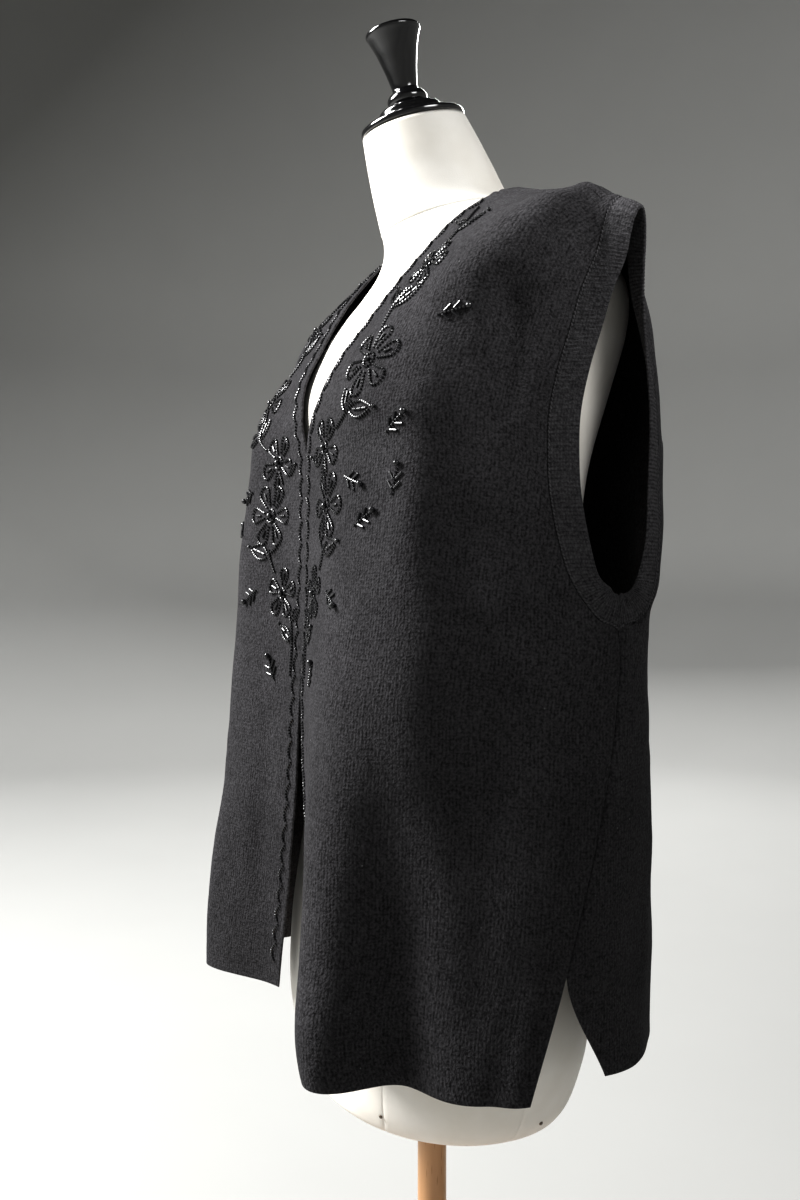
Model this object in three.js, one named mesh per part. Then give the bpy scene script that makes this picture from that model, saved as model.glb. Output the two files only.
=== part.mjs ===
// Sleeveless knit cardigan worn open on a limbless dress form with a short counter stand.
// Millimetres, +Z up. The garment faces -Y and the wearer's left is +X.
// Every cloth piece is a closed wall of one thickness, lofted through a table of rows.
import * as THREE from 'three';

// ---- driving sizes -------------------------------------------------------------------
const FORM_LIFT = 250; // underside of the dress form above the floor
const CLOTH = 2.0; // wall of the jersey and of the rib
const SEAM_GAP = 0.3; // clear space between two pieces that are sewn together
const FRONT_PARTING = 1; // the fronts never come nearer than this to the middle
const BAND_WIDTH = 21; // armhole band, from seam to free edge
const PAD_RISE = 9; // how far the shoulder pad lifts the cloth
const POLE_RADIUS = 11.5;
const BASE_RADIUS = 160;
const BASE_THICK = 24;
const HEAD_LEAN = 14; // degrees that the neck cap and the finial lean forward

const COLUMNS = 14; // cells across one front, and across half the back
const FORM_SIDES = 40;

// ---- tables --------------------------------------------------------------------------
// A front, hem to shoulder. The first point is on the front edge or neckline, the second
// on the side seam or armhole; rises are above the underside of the form. "turn" is how
// far the row swings round, "square" how full its corner is, "steps" the cells above it.
// x, y, rise   x, y, rise   turn, square, steps
const FRONT_ROWS = [
  [51, -107, 93, 213, -33, 86, 90, 2.4, 3],
  [30, -107, 163, 208, -3, 163, 90, 2.4, 3],
  [11, -107, 250, 205, 23, 250, 90, 2.4, 3],
  [1, -107, 330, 203, 38, 325, 90, 2.4, 3],
  [1, -106, 398, 204, 39, 384, 90, 2.4, 1],
  [1, -106, 420, 203, 23, 393, 88, 2.4, 1],
  [1, -106, 445, 198, 6, 418, 86, 2.4, 1],
  [1, -106, 470, 194, -1, 443, 84, 2.4, 1],
  [1, -106, 494, 191, -6, 474, 82, 2.4, 1],
  [1, -106, 517, 190, -7, 500, 80, 2.4, 2],
  [15, -106, 546, 190, -6, 528, 78, 2.4, 2],
  [32, -95, 580, 191, 0, 557, 76, 2.4, 2],
  [47, -75, 612, 193, 8, 584, 74, 2.5, 2],
  [57, -56, 640, 196, 15, 610, 70, 2.6, 2],
  [66, -34, 668, 199, 25, 635, 62, 2.5, 2],
  [72, -10, 694, 201, 29, 652, 45, 2.2, 2],
  [76, 18, 713, 203, 33, 664, 25, 2.0, 0],
];

// Half the back, hem to shoulder seam, in the same columns. x stays 0 down the middle of
// the back as far as the nape, and then follows the neck.
const BACK_ROWS = [
  [0, 126, 93, 204, 29, 92, 90, 2.1, 3],
  [0, 140, 163, 208, -3, 163, 90, 2.1, 3],
  [0, 133, 250, 205, 23, 250, 90, 2.1, 3],
  [0, 124, 330, 203, 38, 325, 90, 2.1, 3],
  [0, 121, 398, 204, 39, 384, 90, 2.1, 1],
  [0, 120, 425, 201, 57, 392, 88, 2.1, 1],
  [0, 120, 455, 195, 71, 404, 86, 2.1, 1],
  [0, 123, 490, 189, 80, 424, 84, 2.1, 1],
  [0, 128, 520, 184, 86, 450, 82, 2.1, 1],
  [0, 134, 550, 179, 89, 480, 80, 2.1, 1],
  [0, 140, 578, 176, 90, 510, 78, 2.1, 1],
  [0, 144, 604, 175, 89, 540, 76, 2.1, 2],
  [0, 146, 628, 175, 84, 568, 74, 2.1, 2],
  [0, 145, 650, 178, 75, 592, 72, 2.1, 2],
  [0, 138, 668, 182, 66, 612, 68, 2.1, 1],
  [0, 123, 684, 188, 59, 630, 64, 2.1, 2],
  [0, 103, 697, 194, 54, 647, 58, 2.1, 2],
  [0, 88, 704, 197, 51, 655, 52, 2.1, 2],
  [30, 83, 706, 200, 48, 662, 44, 2.0, 2],
  [54, 66, 713, 202, 45, 667, 32, 2.0, 2],
  [70, 42, 720, 203, 41, 671, 20, 2.0, 2],
  [76, 18, 713, 203, 33, 664, 25, 2.0, 0],
];

// Long folds of a front: rise, place across the row 0..1, how far it stands out, spread.
// The first falls from the bust, the second is the crest beside it and the third the
// valley between them.
const BUST_FOLD = [
  [60, 0.19, 56, 0.13],
  [110, 0.2, 65, 0.14],
  [180, 0.22, 53, 0.15],
  [250, 0.24, 45, 0.17],
  [320, 0.26, 35, 0.19],
  [390, 0.27, 25, 0.2],
  [450, 0.28, 17, 0.21],
  [510, 0.3, 12, 0.22],
  [560, 0.32, 11, 0.23],
  [600, 0.36, 13, 0.25],
  [640, 0.44, 20, 0.27],
  [670, 0.5, 20, 0.3],
  [700, 0.5, 8, 0.3],
];
const CREST_FOLD = [
  [60, 0.62, 3, 0.11],
  [130, 0.58, 3, 0.11],
  [230, 0.51, 5, 0.11],
  [330, 0.47, 12, 0.11],
  [430, 0.5, 13, 0.11],
  [480, 0.54, 13, 0.11],
  [530, 0.55, 9, 0.12],
  [580, 0.52, 2, 0.12],
  [620, 0.5, 0, 0.12],
  [720, 0.5, 0, 0.12],
];
const VALLEY_FOLD = [
  [60, 0.38, -2, 0.09],
  [180, 0.37, -3, 0.08],
  [280, 0.37, -3, 0.07],
  [370, 0.39, 0, 0.06],
  [720, 0.39, 0, 0.06],
];
const LEFT_FOLDS = [BUST_FOLD, CREST_FOLD, VALLEY_FOLD];
const RIGHT_BUST = [
  [60, 0.19, 52, 0.13],
  [110, 0.2, 53, 0.14],
  [180, 0.22, 53, 0.15],
  [250, 0.24, 46, 0.17],
  [320, 0.26, 42, 0.18],
  [390, 0.28, 38, 0.17],
  [450, 0.3, 33, 0.155],
  [510, 0.32, 26, 0.15],
  [560, 0.34, 18, 0.16],
  [600, 0.38, 14, 0.2],
  [640, 0.44, 20, 0.27],
  [670, 0.5, 20, 0.3],
  [700, 0.5, 8, 0.3],
];
const RIGHT_CREST = CREST_FOLD.map(([rise, place, amount, spread]) => [rise, place, 0.7 * amount, spread]);
const RIGHT_FOLDS = [RIGHT_BUST, RIGHT_CREST, VALLEY_FOLD];

// Shallower folds: rise and place of one end, rise and place of the other, out, spread.
const SIDE_FOLDS = [
  [60, 0.84, 300, 0.86, -3, 0.08],
];
const BACK_FOLDS = [
  [60, 0.42, 360, 0.5, 10, 0.13],
  [60, 0.15, 300, 0.1, -7, 0.14],
  [380, 0.62, 600, 0.5, -7, 0.14],
];

// Line inside each armhole that the bands lean towards: rise, x, y, droop of the band
const ARMHOLE_CORE = [
  [418, 204, 40, 0],
  [450, 210, 44, 0],
  [500, 214, 46, 0],
  [560, 222, 50, 0],
  [620, 234, 54, 8],
  [700, 262, 58, 45],
];

// Dress form: rise, half width, front y, back y, y of the widest point, square, lean.
const FORM_ROWS = [
  [4, 14, -14, 14, 0, 2, 0],
  [6, 70, -48, 44, 0, 2, 0],
  [18, 118, -84, 76, 0, 2.1, 0],
  [32, 138, -94, 87, 0, 2.2, 0],
  [62, 153, -100, 92, 0, 2.3, 0],
  [95, 162, -102, 94, 0, 2.35, 0],
  [150, 160, -100, 95, 0, 2.3, 0],
  [215, 142, -95, 92, 0, 2.2, 0],
  [285, 124, -90, 86, 0, 2.1, 0],
  [345, 130, -92, 87, 2, 2.1, 0],
  [400, 142, -99, 89, 4, 2.15, 0],
  [455, 150, -102, 93, 6, 2.2, 0],
  [505, 154, -102, 100, 12, 2.2, 0],
  [560, 158, -98, 116, 22, 2.3, 0],
  [605, 162, -77, 128, 30, 2.4, 0],
  [635, 162, -57, 127, 34, 2.4, 0],
  [660, 148, -40, 112, 36, 2.3, 2],
  [684, 116, -30, 92, 31, 2.1, 6],
  [702, 77.5, -33, 73, 20, 2, 10],
  [718, 56, -42, 63, 9, 2, 13],
  [740, 49.5, -49, 51, 1.5, 2, 14],
  [762, 46, -54, 38, -8, 2, 14],
  [782, 42, -58, 25.6, -16.2, 2, 14],
];
const BUST = { x: 74, rise: 480, out: 5, wide: 38, tall: 52 };

// ---- small helpers -------------------------------------------------------------------
const rad = (degrees) => (degrees * Math.PI) / 180;
const bell = (distance, spread) => Math.exp(-((distance / spread) ** 2));

// Smooth curve through table rows: keys rise, each value is a number or a list of them.
function curveAt(keys, values, at) {
  const last = keys.length - 1;
  const t = Math.min(Math.max(at, keys[0]), keys[last]);
  let i = 0;
  while (i < last - 1 && t > keys[i + 1]) i += 1;
  const span = keys[i + 1] - keys[i];
  const u = (t - keys[i]) / span;
  const slope = (k, c) => {
    const a = Math.max(k - 1, 0);
    const b = Math.min(k + 1, last);
    return (values[b][c] - values[a][c]) / (keys[b] - keys[a]);
  };
  return values[i].map((_, c) => {
    const start = values[i][c];
    const end = values[i + 1][c];
    const h1 = u * u * (3 - 2 * u);
    const h2 = u * (1 - u) ** 2 * span;
    const h3 = u * u * (u - 1) * span;
    return start + (end - start) * h1 + slope(i, c) * h2 + slope(i + 1, c) * h3;
  });
}

// Point of one row at place s, 0 at its first point and 1 at its second.
function rowPoint(row, s) {
  const [xIn, yIn, riseIn, xOut, yOut, riseOut, turn, square] = row;
  const full = rad(turn);
  const angle = s * full;
  const across = (Math.sin(angle) / Math.sin(full)) ** (2 / square);
  const depth = Math.max((Math.cos(angle) - Math.cos(full)) / (1 - Math.cos(full)), 0);
  return new THREE.Vector3(
    xIn + (xOut - xIn) * across,
    yOut + (yIn - yOut) * depth ** (2 / square),
    riseIn + (riseOut - riseIn) * s,
  );
}

// Row numbers at which a table is cut into cells.
function rowStations(table) {
  const stations = [];
  table.forEach((row, i) => {
    const steps = row[8];
    for (let k = 0; k < steps; k += 1) stations.push(i + k / steps);
  });
  stations.push(table.length - 1);
  return stations;
}

// Grid of points on one panel, [row][column], for the wearer's left side.
function panelGrid(table, columns, mainFolds, folds) {
  const keys = table.map((_, i) => i);
  const rows = table.map((row) => row.slice(0, 8));
  return rowStations(table).map((station) => {
    const row = curveAt(keys, rows, station);
    const parted = table[Math.floor(station)][0] > 0;
    row[0] = parted ? Math.max(row[0], FRONT_PARTING) : 0;
    const fromTop = table.length - 1 - station;
    return Array.from({ length: columns + 1 }, (_, j) => {
      const s = j / columns;
      const point = rowPoint(row, s);
      let out = 0;
      mainFolds.forEach((fold) => {
        const [place, amount, spread] = curveAt(
          fold.map((row) => row[0]),
          fold.map((row) => row.slice(1)),
          point.z,
        );
        out += amount * bell(s - place, spread);
      });
      folds.forEach(([rise0, place0, rise1, place1, amount, spread]) => {
        const along = (point.z - rise0) / (rise1 - rise0);
        const swell = along < 0 || along > 1 ? 0 : Math.cos((along * Math.PI) / 2) ** 2;
        out += amount * swell * bell(s - place0 - (place1 - place0) * along, spread);
      });
      const away = new THREE.Vector2(point.x - 20, point.y - 40).normalize();
      if (j === 0) away.x = 0;
      const pad = PAD_RISE * bell(fromTop, 1.8) * bell(s - 0.78, 0.16);
      point.x += away.x * out;
      point.y += away.y * out;
      point.z += pad + FORM_LIFT;
      return point;
    });
  });
}

// Unit normals of a grid, pointing out of the garment. "turned" swaps their side.
function gridNormals(grid, turned) {
  const rows = grid.length;
  const columns = grid[0].length;
  return grid.map((line, i) =>
    line.map((_, j) => {
      const up = grid[Math.min(i + 1, rows - 1)][j].clone().sub(grid[Math.max(i - 1, 0)][j]);
      const side = line[Math.min(j + 1, columns - 1)].clone().sub(line[Math.max(j - 1, 0)]);
      const normal = turned ? up.cross(side) : side.cross(up);
      if (line[j].x === 0) normal.x = 0;
      return normal.normalize();
    }),
  );
}

// Move the two sewn edges of a panel back by half the seam gap, inside its own surface.
function trimEdges(grid) {
  const trim = (from, towards) => {
    const step = towards.clone().sub(from).normalize();
    from.addScaledVector(step, SEAM_GAP / 2);
  };
  const top = grid.length - 1;
  grid.forEach((line) => trim(line[line.length - 1], line[line.length - 2]));
  grid[top].forEach((point, j) => trim(point, grid[top - 1][j]));
}

// Closed wall from one or two grids. A second grid is the mirror half of the first and
// shares its first column up to the row "opensAt".
function clothWall(halves, opensAt) {
  const positions = [];
  const triangles = [];
  const index = new Map();
  const id = (half, layer, i, j) => {
    const shared = halves.length === 2 && j === 0 && i <= opensAt;
    const key = `${shared ? 0 : half}_${layer}_${i}_${j}`;
    if (!index.has(key)) {
      const { grid, normals } = halves[half];
      const point = grid[i][j].clone();
      if (layer === 1) point.addScaledVector(normals[i][j], -CLOTH);
      index.set(key, positions.length / 3);
      positions.push(point.x, point.y, point.z);
    }
    return index.get(key);
  };
  halves.forEach(({ grid, turned }, half) => {
    const rows = grid.length - 1;
    const columns = grid[0].length - 1;
    const quad = (a, b, c, d, reverse) => {
      if (reverse) triangles.push(a, c, b, a, d, c);
      else triangles.push(a, b, c, a, c, d);
    };
    for (let i = 0; i < rows; i += 1) {
      for (let j = 0; j < columns; j += 1) {
        const corners = [[i, j], [i, j + 1], [i + 1, j + 1], [i + 1, j]];
        quad(...corners.map(([r, c]) => id(half, 0, r, c)), turned);
        quad(...corners.map(([r, c]) => id(half, 1, r, c)), !turned);
      }
    }
    const rim = [];
    for (let j = 0; j <= columns; j += 1) rim.push([0, j]);
    for (let i = 1; i <= rows; i += 1) rim.push([i, columns]);
    for (let j = columns - 1; j >= 0; j -= 1) rim.push([rows, j]);
    for (let i = rows - 1; i >= opensAt; i -= 1) rim.push([i, 0]);
    for (let k = 0; k < rim.length - 1; k += 1) {
      const [i0, j0] = rim[k];
      const [i1, j1] = rim[k + 1];
      const around = [id(half, 0, i0, j0), id(half, 1, i0, j0), id(half, 1, i1, j1), id(half, 0, i1, j1)];
      quad(...around, turned);
    }
  });
  return closedGeometry(positions, triangles);
}

function closedGeometry(positions, triangles) {
  const geometry = new THREE.BufferGeometry();
  geometry.setAttribute('position', new THREE.Float32BufferAttribute(positions, 3));
  geometry.setIndex(triangles);
  geometry.computeVertexNormals();
  return geometry;
}

// Closed wall swept round a loop: rings of the same number of points, all one way round.
// "mirrorCut" splits the cells along their other diagonal, so both sides are cut alike.
function loopWall(rings, mirrorCut) {
  const count = rings[0].length;
  const positions = rings.flat().flatMap((point) => [point.x, point.y, point.z]);
  const triangles = [];
  rings.forEach((_, i) => {
    const next = (i + 1) % rings.length;
    for (let k = 0; k < count; k += 1) {
      const k1 = (k + 1) % count;
      const [a, b, c, d] = [i * count + k, i * count + k1, next * count + k1, next * count + k];
      if (mirrorCut) triangles.push(a, b, c, a, c, d);
      else triangles.push(a, b, d, b, c, d);
    }
  });
  return closedGeometry(positions, triangles);
}

const mirrored = (grid) => grid.map((line) => line.map((p) => new THREE.Vector3(-p.x, p.y, p.z)));
const mirroredNormals = (normals) => mirrored(normals);

// ---- garment -------------------------------------------------------------------------
const leftGrid = panelGrid(FRONT_ROWS, COLUMNS, LEFT_FOLDS, SIDE_FOLDS);
const rightGrid = panelGrid(FRONT_ROWS, COLUMNS, RIGHT_FOLDS, SIDE_FOLDS);
const backGrid = panelGrid(BACK_ROWS, COLUMNS, [], BACK_FOLDS);

const stationOf = (table, row) => table.slice(0, row).reduce((sum, entry) => sum + entry[8], 0);
const SLIT_TOP = stationOf(FRONT_ROWS, 1);
const FRONT_UNDERARM = stationOf(FRONT_ROWS, 4);
const BACK_UNDERARM = stationOf(BACK_ROWS, 4);
const BACK_NAPE = stationOf(BACK_ROWS, 17);

// The back takes its side and shoulder seams from the front that it is sewn to.
for (let i = SLIT_TOP; i <= BACK_UNDERARM; i += 1) backGrid[i][COLUMNS].copy(leftGrid[i][COLUMNS]);
backGrid[backGrid.length - 1].forEach((point, j) => point.copy(leftGrid[leftGrid.length - 1][j]));

const leftNormals = gridNormals(leftGrid, false);
const rightNormals = gridNormals(rightGrid, false);
const backNormals = gridNormals(backGrid, true);

// Panels that are sewn together keep one common normal along the side seam, which faces
// sideways, and along the shoulder seam, which faces up and a little forward.
function shareSeamNormals(normals, slitTop, underarm) {
  for (let i = slitTop; i <= underarm; i += 1) normals[i][COLUMNS].set(1, 0, 0.02).normalize();
  normals[normals.length - 1].forEach((normal) => normal.set(0.25, -0.35, 0.9).normalize());
}
shareSeamNormals(leftNormals, SLIT_TOP, FRONT_UNDERARM);
shareSeamNormals(rightNormals, SLIT_TOP, FRONT_UNDERARM);
shareSeamNormals(backNormals, SLIT_TOP, BACK_UNDERARM);

// Armhole loop in the seam line: up the front edge, down the back edge.
function armholeLoop(frontGrid, frontNormals) {
  const loop = [];
  const add = (grid, normals, i) => {
    const line = grid[i];
    const edge = line[line.length - 1].clone();
    loop.push({ edge, normal: normals[i][line.length - 1].clone() });
  };
  for (let i = FRONT_UNDERARM; i < frontGrid.length; i += 1) add(frontGrid, frontNormals, i);
  for (let i = backGrid.length - 2; i > BACK_UNDERARM; i -= 1) add(backGrid, backNormals, i);
  return loop;
}

// Rib band: from the seam towards the armhole's core line, three points each way.
function bandWall(frontGrid, frontNormals) {
  const keys = ARMHOLE_CORE.map((row) => row[0] + FORM_LIFT);
  const values = ARMHOLE_CORE.map((row) => row.slice(1));
  const rings = armholeLoop(frontGrid, frontNormals).map(({ edge, normal }) => {
    const rise = Math.min(Math.max(edge.z, keys[0]), keys[keys.length - 1]);
    const [x, y, droop] = curveAt(keys, values, rise);
    const inward = new THREE.Vector3(x, y, rise - droop).sub(edge).normalize();
    const face = normal.clone().addScaledVector(inward, -normal.dot(inward)).normalize();
    const at = (along, down, way) => edge.clone().addScaledVector(inward, along).addScaledVector(way, -down);
    const [seam, middle, free] = [SEAM_GAP, BAND_WIDTH / 2, BAND_WIDTH];
    return [
      at(seam, 0, normal),
      at(middle, 0, face),
      at(free, 0, face),
      at(free, CLOTH, face),
      at(middle, CLOTH, face),
      at(seam, CLOTH, normal),
    ];
  });
  return rings;
}

const leftBand = bandWall(leftGrid, leftNormals);
const rightBand = bandWall(rightGrid, rightNormals).map((ring) =>
  ring.map((p) => new THREE.Vector3(-p.x, p.y, p.z)).reverse(),
);
[leftGrid, rightGrid, backGrid].forEach(trimEdges);

const frontLeft = clothWall([{ grid: leftGrid, normals: leftNormals, turned: false }], 0);
const frontRight = clothWall(
  [{ grid: mirrored(rightGrid), normals: mirroredNormals(rightNormals), turned: true }],
  0,
);
const back = clothWall(
  [
    { grid: backGrid, normals: backNormals, turned: true },
    { grid: mirrored(backGrid), normals: mirroredNormals(backNormals), turned: false },
  ],
  BACK_NAPE,
);

// ---- dress form ----------------------------------------------------------------------
function formGeometry() {
  const keys = FORM_ROWS.map((_, i) => i);
  const rings = [];
  for (let station = 0; station <= FORM_ROWS.length - 1; station += 0.5) {
    const [rise, half, front, rear, middle, square, lean] = curveAt(keys, FORM_ROWS, station);
    const ring = Array.from({ length: FORM_SIDES }, (_, k) => {
      const angle = (2 * Math.PI * k) / FORM_SIDES;
      const c = Math.cos(angle);
      const s = Math.sin(angle);
      const x = half * Math.sign(c) * Math.abs(c) ** (2 / square);
      const depth = s < 0 ? middle - front : rear - middle;
      const y = depth * Math.sign(s) * Math.abs(s) ** (2 / square);
      const bump = s < 0 ? bell(Math.abs(x) - BUST.x, BUST.wide) * bell(rise - BUST.rise, BUST.tall) : 0;
      return new THREE.Vector3(
        x,
        middle + y * Math.cos(rad(lean)) - BUST.out * bump * Math.abs(s) ** 0.5,
        FORM_LIFT + rise + y * Math.sin(rad(lean)),
      );
    });
    rings.push(ring);
  }
  const positions = rings.flat().flatMap((p) => [p.x, p.y, p.z]);
  const triangles = [];
  for (let i = 0; i < rings.length - 1; i += 1) {
    for (let k = 0; k < FORM_SIDES; k += 1) {
      const k1 = (k + 1) % FORM_SIDES;
      const [a, b] = [i * FORM_SIDES + k, i * FORM_SIDES + k1];
      triangles.push(a, b, b + FORM_SIDES, a, b + FORM_SIDES, a + FORM_SIDES);
    }
  }
  const centre = (ring) => ring.reduce((sum, p) => sum.add(p), new THREE.Vector3()).divideScalar(ring.length);
  [0, rings.length - 1].forEach((i) => {
    const middle = centre(rings[i]);
    const tip = positions.length / 3;
    positions.push(middle.x, middle.y, middle.z);
    for (let k = 0; k < FORM_SIDES; k += 1) {
      const k1 = (k + 1) % FORM_SIDES;
      const [a, b] = [i * FORM_SIDES + k, i * FORM_SIDES + k1];
      if (i === 0) triangles.push(tip, b, a);
      else triangles.push(tip, a, b);
    }
  });
  return closedGeometry(positions, triangles);
}

// Turned solid about +Z from (radius, height) pairs that start and end on the axis.
function turned(profile, sides) {
  const points = profile.map(([radius, height]) => new THREE.Vector2(radius, height));
  return new THREE.LatheGeometry(points, sides).rotateX(Math.PI / 2);
}

const capGeometry = turned(
  [[0, 0.3], [40.5, 0.3], [42, 1.5], [42, 3.5], [40.5, 5], [27, 9], [26, 10], [25, 14], [23.5, 15.5], [0, 15.5]],
  48,
);
const finialGeometry = turned(
  [
    [0, 15.8], [11, 15.8], [14.5, 17.5], [16.2, 20.5], [16.2, 23.5], [14.5, 26.5], [11, 28.5], [10, 30.5],
    [12.5, 44], [16.5, 60], [20.5, 71], [22.3, 74], [22, 76.3], [20.5, 77.5], [0, 77.5],
  ],
  40,
);
const lean = new THREE.Matrix4().makeRotationX(rad(HEAD_LEAN));
const headTop = new THREE.Vector3(0, -16.4, FORM_LIFT + 782);
lean.setPosition(headTop);
capGeometry.applyMatrix4(lean);
finialGeometry.applyMatrix4(lean);

const poleTop = FORM_LIFT + FORM_ROWS[0][0] - SEAM_GAP;
const poleFoot = BASE_THICK + SEAM_GAP;
const poleGeometry = turned(
  [[0, poleFoot], [POLE_RADIUS, poleFoot], [POLE_RADIUS, poleTop], [0, poleTop]],
  40,
);
const baseGeometry = turned(
  [
    [0, 0], [BASE_RADIUS - 4, 0], [BASE_RADIUS, 4], [BASE_RADIUS, 13], [BASE_RADIUS - 3, 18],
    [BASE_RADIUS - 10, BASE_THICK], [0, BASE_THICK],
  ],
  72,
);

// ---- the object ----------------------------------------------------------------------
const wool = { color: 0x1d1c1e, roughness: 0.95, metalness: 0 };
const lacquer = { color: 0x0b0b0c, roughness: 0.15, metalness: 0 };
const beech = { color: 0xc9a27a, roughness: 0.5, metalness: 0 };
const cover = { color: 0xe6e3dd, roughness: 0.9, metalness: 0 };

const group = new THREE.Group();
function add(name, geometry, look) {
  const mesh = new THREE.Mesh(geometry, new THREE.MeshStandardMaterial(look));
  mesh.name = name;
  group.add(mesh);
}
add('front_left', frontLeft, wool);
add('front_right', frontRight, wool);
add('back', back, wool);
add('armhole_band_left', loopWall(leftBand, false), wool);
add('armhole_band_right', loopWall(rightBand, true), wool);
add('form_body', formGeometry(), cover);
add('neck_cap', capGeometry, lacquer);
add('finial', finialGeometry, lacquer);
add('pole', poleGeometry, beech);
add('base', baseGeometry, beech);

export default group;
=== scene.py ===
"""Looks of a sleeveless beaded knit cardigan worn open on a limbless dress form.

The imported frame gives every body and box. Surfaces are worked out in millimetres and in
the frame's own axes, +Z up, the front towards -Y, the wearer's left towards +X, and become
metres when a mesh is made.
"""

import math
from functools import partial

import bpy
import numpy as np
from mathutils import Matrix, Vector, noise
from mathutils.bvhtree import BVHTree
from mathutils.geometry import barycentric_transform


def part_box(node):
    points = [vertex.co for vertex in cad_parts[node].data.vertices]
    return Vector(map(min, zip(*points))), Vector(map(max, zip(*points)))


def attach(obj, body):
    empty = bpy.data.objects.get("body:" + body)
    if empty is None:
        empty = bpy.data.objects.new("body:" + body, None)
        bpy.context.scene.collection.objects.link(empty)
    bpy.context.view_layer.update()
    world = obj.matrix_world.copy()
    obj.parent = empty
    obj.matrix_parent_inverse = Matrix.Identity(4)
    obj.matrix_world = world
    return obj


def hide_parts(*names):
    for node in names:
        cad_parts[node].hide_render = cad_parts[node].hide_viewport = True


bl_info = {
    "name": "Beaded knit cardigan on a dress form",
    "version": (1, 0, 0),
    "blender": (4, 5, 0),
    "location": "3D View > Sidebar > Cardigan",
    "description": "Builds the cardigan, its beadwork, the dress form and a plain stage",
    "category": "Add Mesh",
}

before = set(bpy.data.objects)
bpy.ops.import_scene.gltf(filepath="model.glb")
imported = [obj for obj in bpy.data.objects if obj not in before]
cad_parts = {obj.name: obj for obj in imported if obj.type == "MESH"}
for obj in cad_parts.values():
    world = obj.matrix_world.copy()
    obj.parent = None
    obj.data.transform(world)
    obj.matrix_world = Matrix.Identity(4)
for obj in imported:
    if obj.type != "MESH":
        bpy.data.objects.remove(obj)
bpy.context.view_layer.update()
BODY = "root"
MM = 0.001

BASE_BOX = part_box("base")
POLE_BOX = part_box("pole")

# ---- the garment's tables, in mm --------------------------------------------------------
# A front, hem to shoulder: first point on the front edge or neckline (x, y, rise), second
# on the side seam or armhole (x, y, rise), turn of the row in degrees, fullness of its
# corner. Rises are above the underside of the dress form.
FRONT_ROWS = [
    (51, -107, 93, 213, -33, 86, 90, 2.4),
    (30, -107, 163, 208, -3, 163, 90, 2.4),
    (11, -107, 250, 205, 23, 250, 90, 2.4),
    (1, -107, 330, 203, 38, 325, 90, 2.4),
    (1, -106, 398, 204, 39, 384, 90, 2.4),
    (1, -106, 420, 203, 23, 393, 88, 2.4),
    (1, -106, 445, 198, 6, 418, 86, 2.4),
    (1, -106, 470, 194, -1, 443, 84, 2.4),
    (1, -106, 494, 191, -6, 474, 82, 2.4),
    (1, -106, 517, 190, -7, 500, 80, 2.4),
    (15, -106, 546, 190, -6, 528, 78, 2.4),
    (32, -95, 580, 191, 0, 557, 76, 2.4),
    (47, -75, 612, 193, 8, 584, 74, 2.5),
    (57, -56, 640, 196, 15, 610, 70, 2.6),
    (66, -34, 668, 199, 25, 635, 62, 2.5),
    (72, -10, 694, 201, 29, 652, 45, 2.2),
    (76, 18, 713, 203, 33, 664, 25, 2.0),
]
# Half the back, in the same columns. Its rows start on the middle of the back up to the
# nape and on the neckline above it.
BACK_ROWS = [
    (0, 126, 93, 204, 29, 92, 90, 2.1),
    (0, 140, 163, 208, -3, 163, 90, 2.1),
    (0, 133, 250, 205, 23, 250, 90, 2.1),
    (0, 124, 330, 203, 38, 325, 90, 2.1),
    (0, 121, 398, 204, 39, 384, 90, 2.1),
    (0, 120, 425, 201, 57, 392, 88, 2.1),
    (0, 120, 455, 195, 71, 404, 86, 2.1),
    (0, 123, 490, 189, 80, 424, 84, 2.1),
    (0, 128, 520, 184, 86, 450, 82, 2.1),
    (0, 134, 550, 179, 89, 480, 80, 2.1),
    (0, 140, 578, 176, 90, 510, 78, 2.1),
    (0, 144, 604, 175, 89, 540, 76, 2.1),
    (0, 146, 628, 175, 84, 568, 74, 2.1),
    (0, 145, 650, 178, 75, 592, 72, 2.1),
    (0, 138, 668, 182, 66, 612, 68, 2.1),
    (0, 123, 684, 188, 59, 630, 64, 2.1),
    (0, 103, 697, 194, 54, 647, 58, 2.1),
    (0, 88, 704, 197, 51, 655, 52, 2.1),
    (30, 83, 706, 200, 48, 662, 44, 2.0),
    (54, 66, 713, 202, 45, 667, 32, 2.0),
    (70, 42, 720, 203, 41, 671, 20, 2.0),
    (76, 18, 713, 203, 33, 664, 25, 2.0),
]
SLIT_ROW, UNDERARM_ROW, NAPE_ROW = 1, 4, 17
V_ROW = 9  # the neckline leaves the front edge above this row

# Long folds of a front, each a list of: rise, place across the row, amount, spread. The
# first falls from the bust, the second is the crest beside it and the third the valley
# between them.
BUST_FOLD = [
    (60, 0.19, 56, 0.13),
    (110, 0.2, 65, 0.14),
    (180, 0.22, 53, 0.15),
    (250, 0.24, 45, 0.17),
    (320, 0.26, 35, 0.19),
    (390, 0.27, 25, 0.2),
    (450, 0.28, 17, 0.21),
    (510, 0.3, 12, 0.22),
    (560, 0.32, 11, 0.23),
    (600, 0.36, 13, 0.25),
    (640, 0.44, 20, 0.27),
    (670, 0.5, 20, 0.3),
    (700, 0.5, 8, 0.3),
]
CREST_FOLD = [
    (60, 0.62, 3, 0.11),
    (130, 0.58, 3, 0.11),
    (230, 0.51, 5, 0.11),
    (330, 0.47, 12, 0.11),
    (430, 0.5, 13, 0.11),
    (480, 0.54, 13, 0.11),
    (530, 0.55, 9, 0.12),
    (580, 0.52, 2, 0.12),
    (620, 0.5, 0, 0.12),
    (720, 0.5, 0, 0.12),
]
VALLEY_FOLD = [
    (60, 0.38, -2, 0.09),
    (180, 0.37, -3, 0.08),
    (280, 0.37, -3, 0.07),
    (370, 0.39, 0, 0.06),
    (720, 0.39, 0, 0.06),
]
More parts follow.
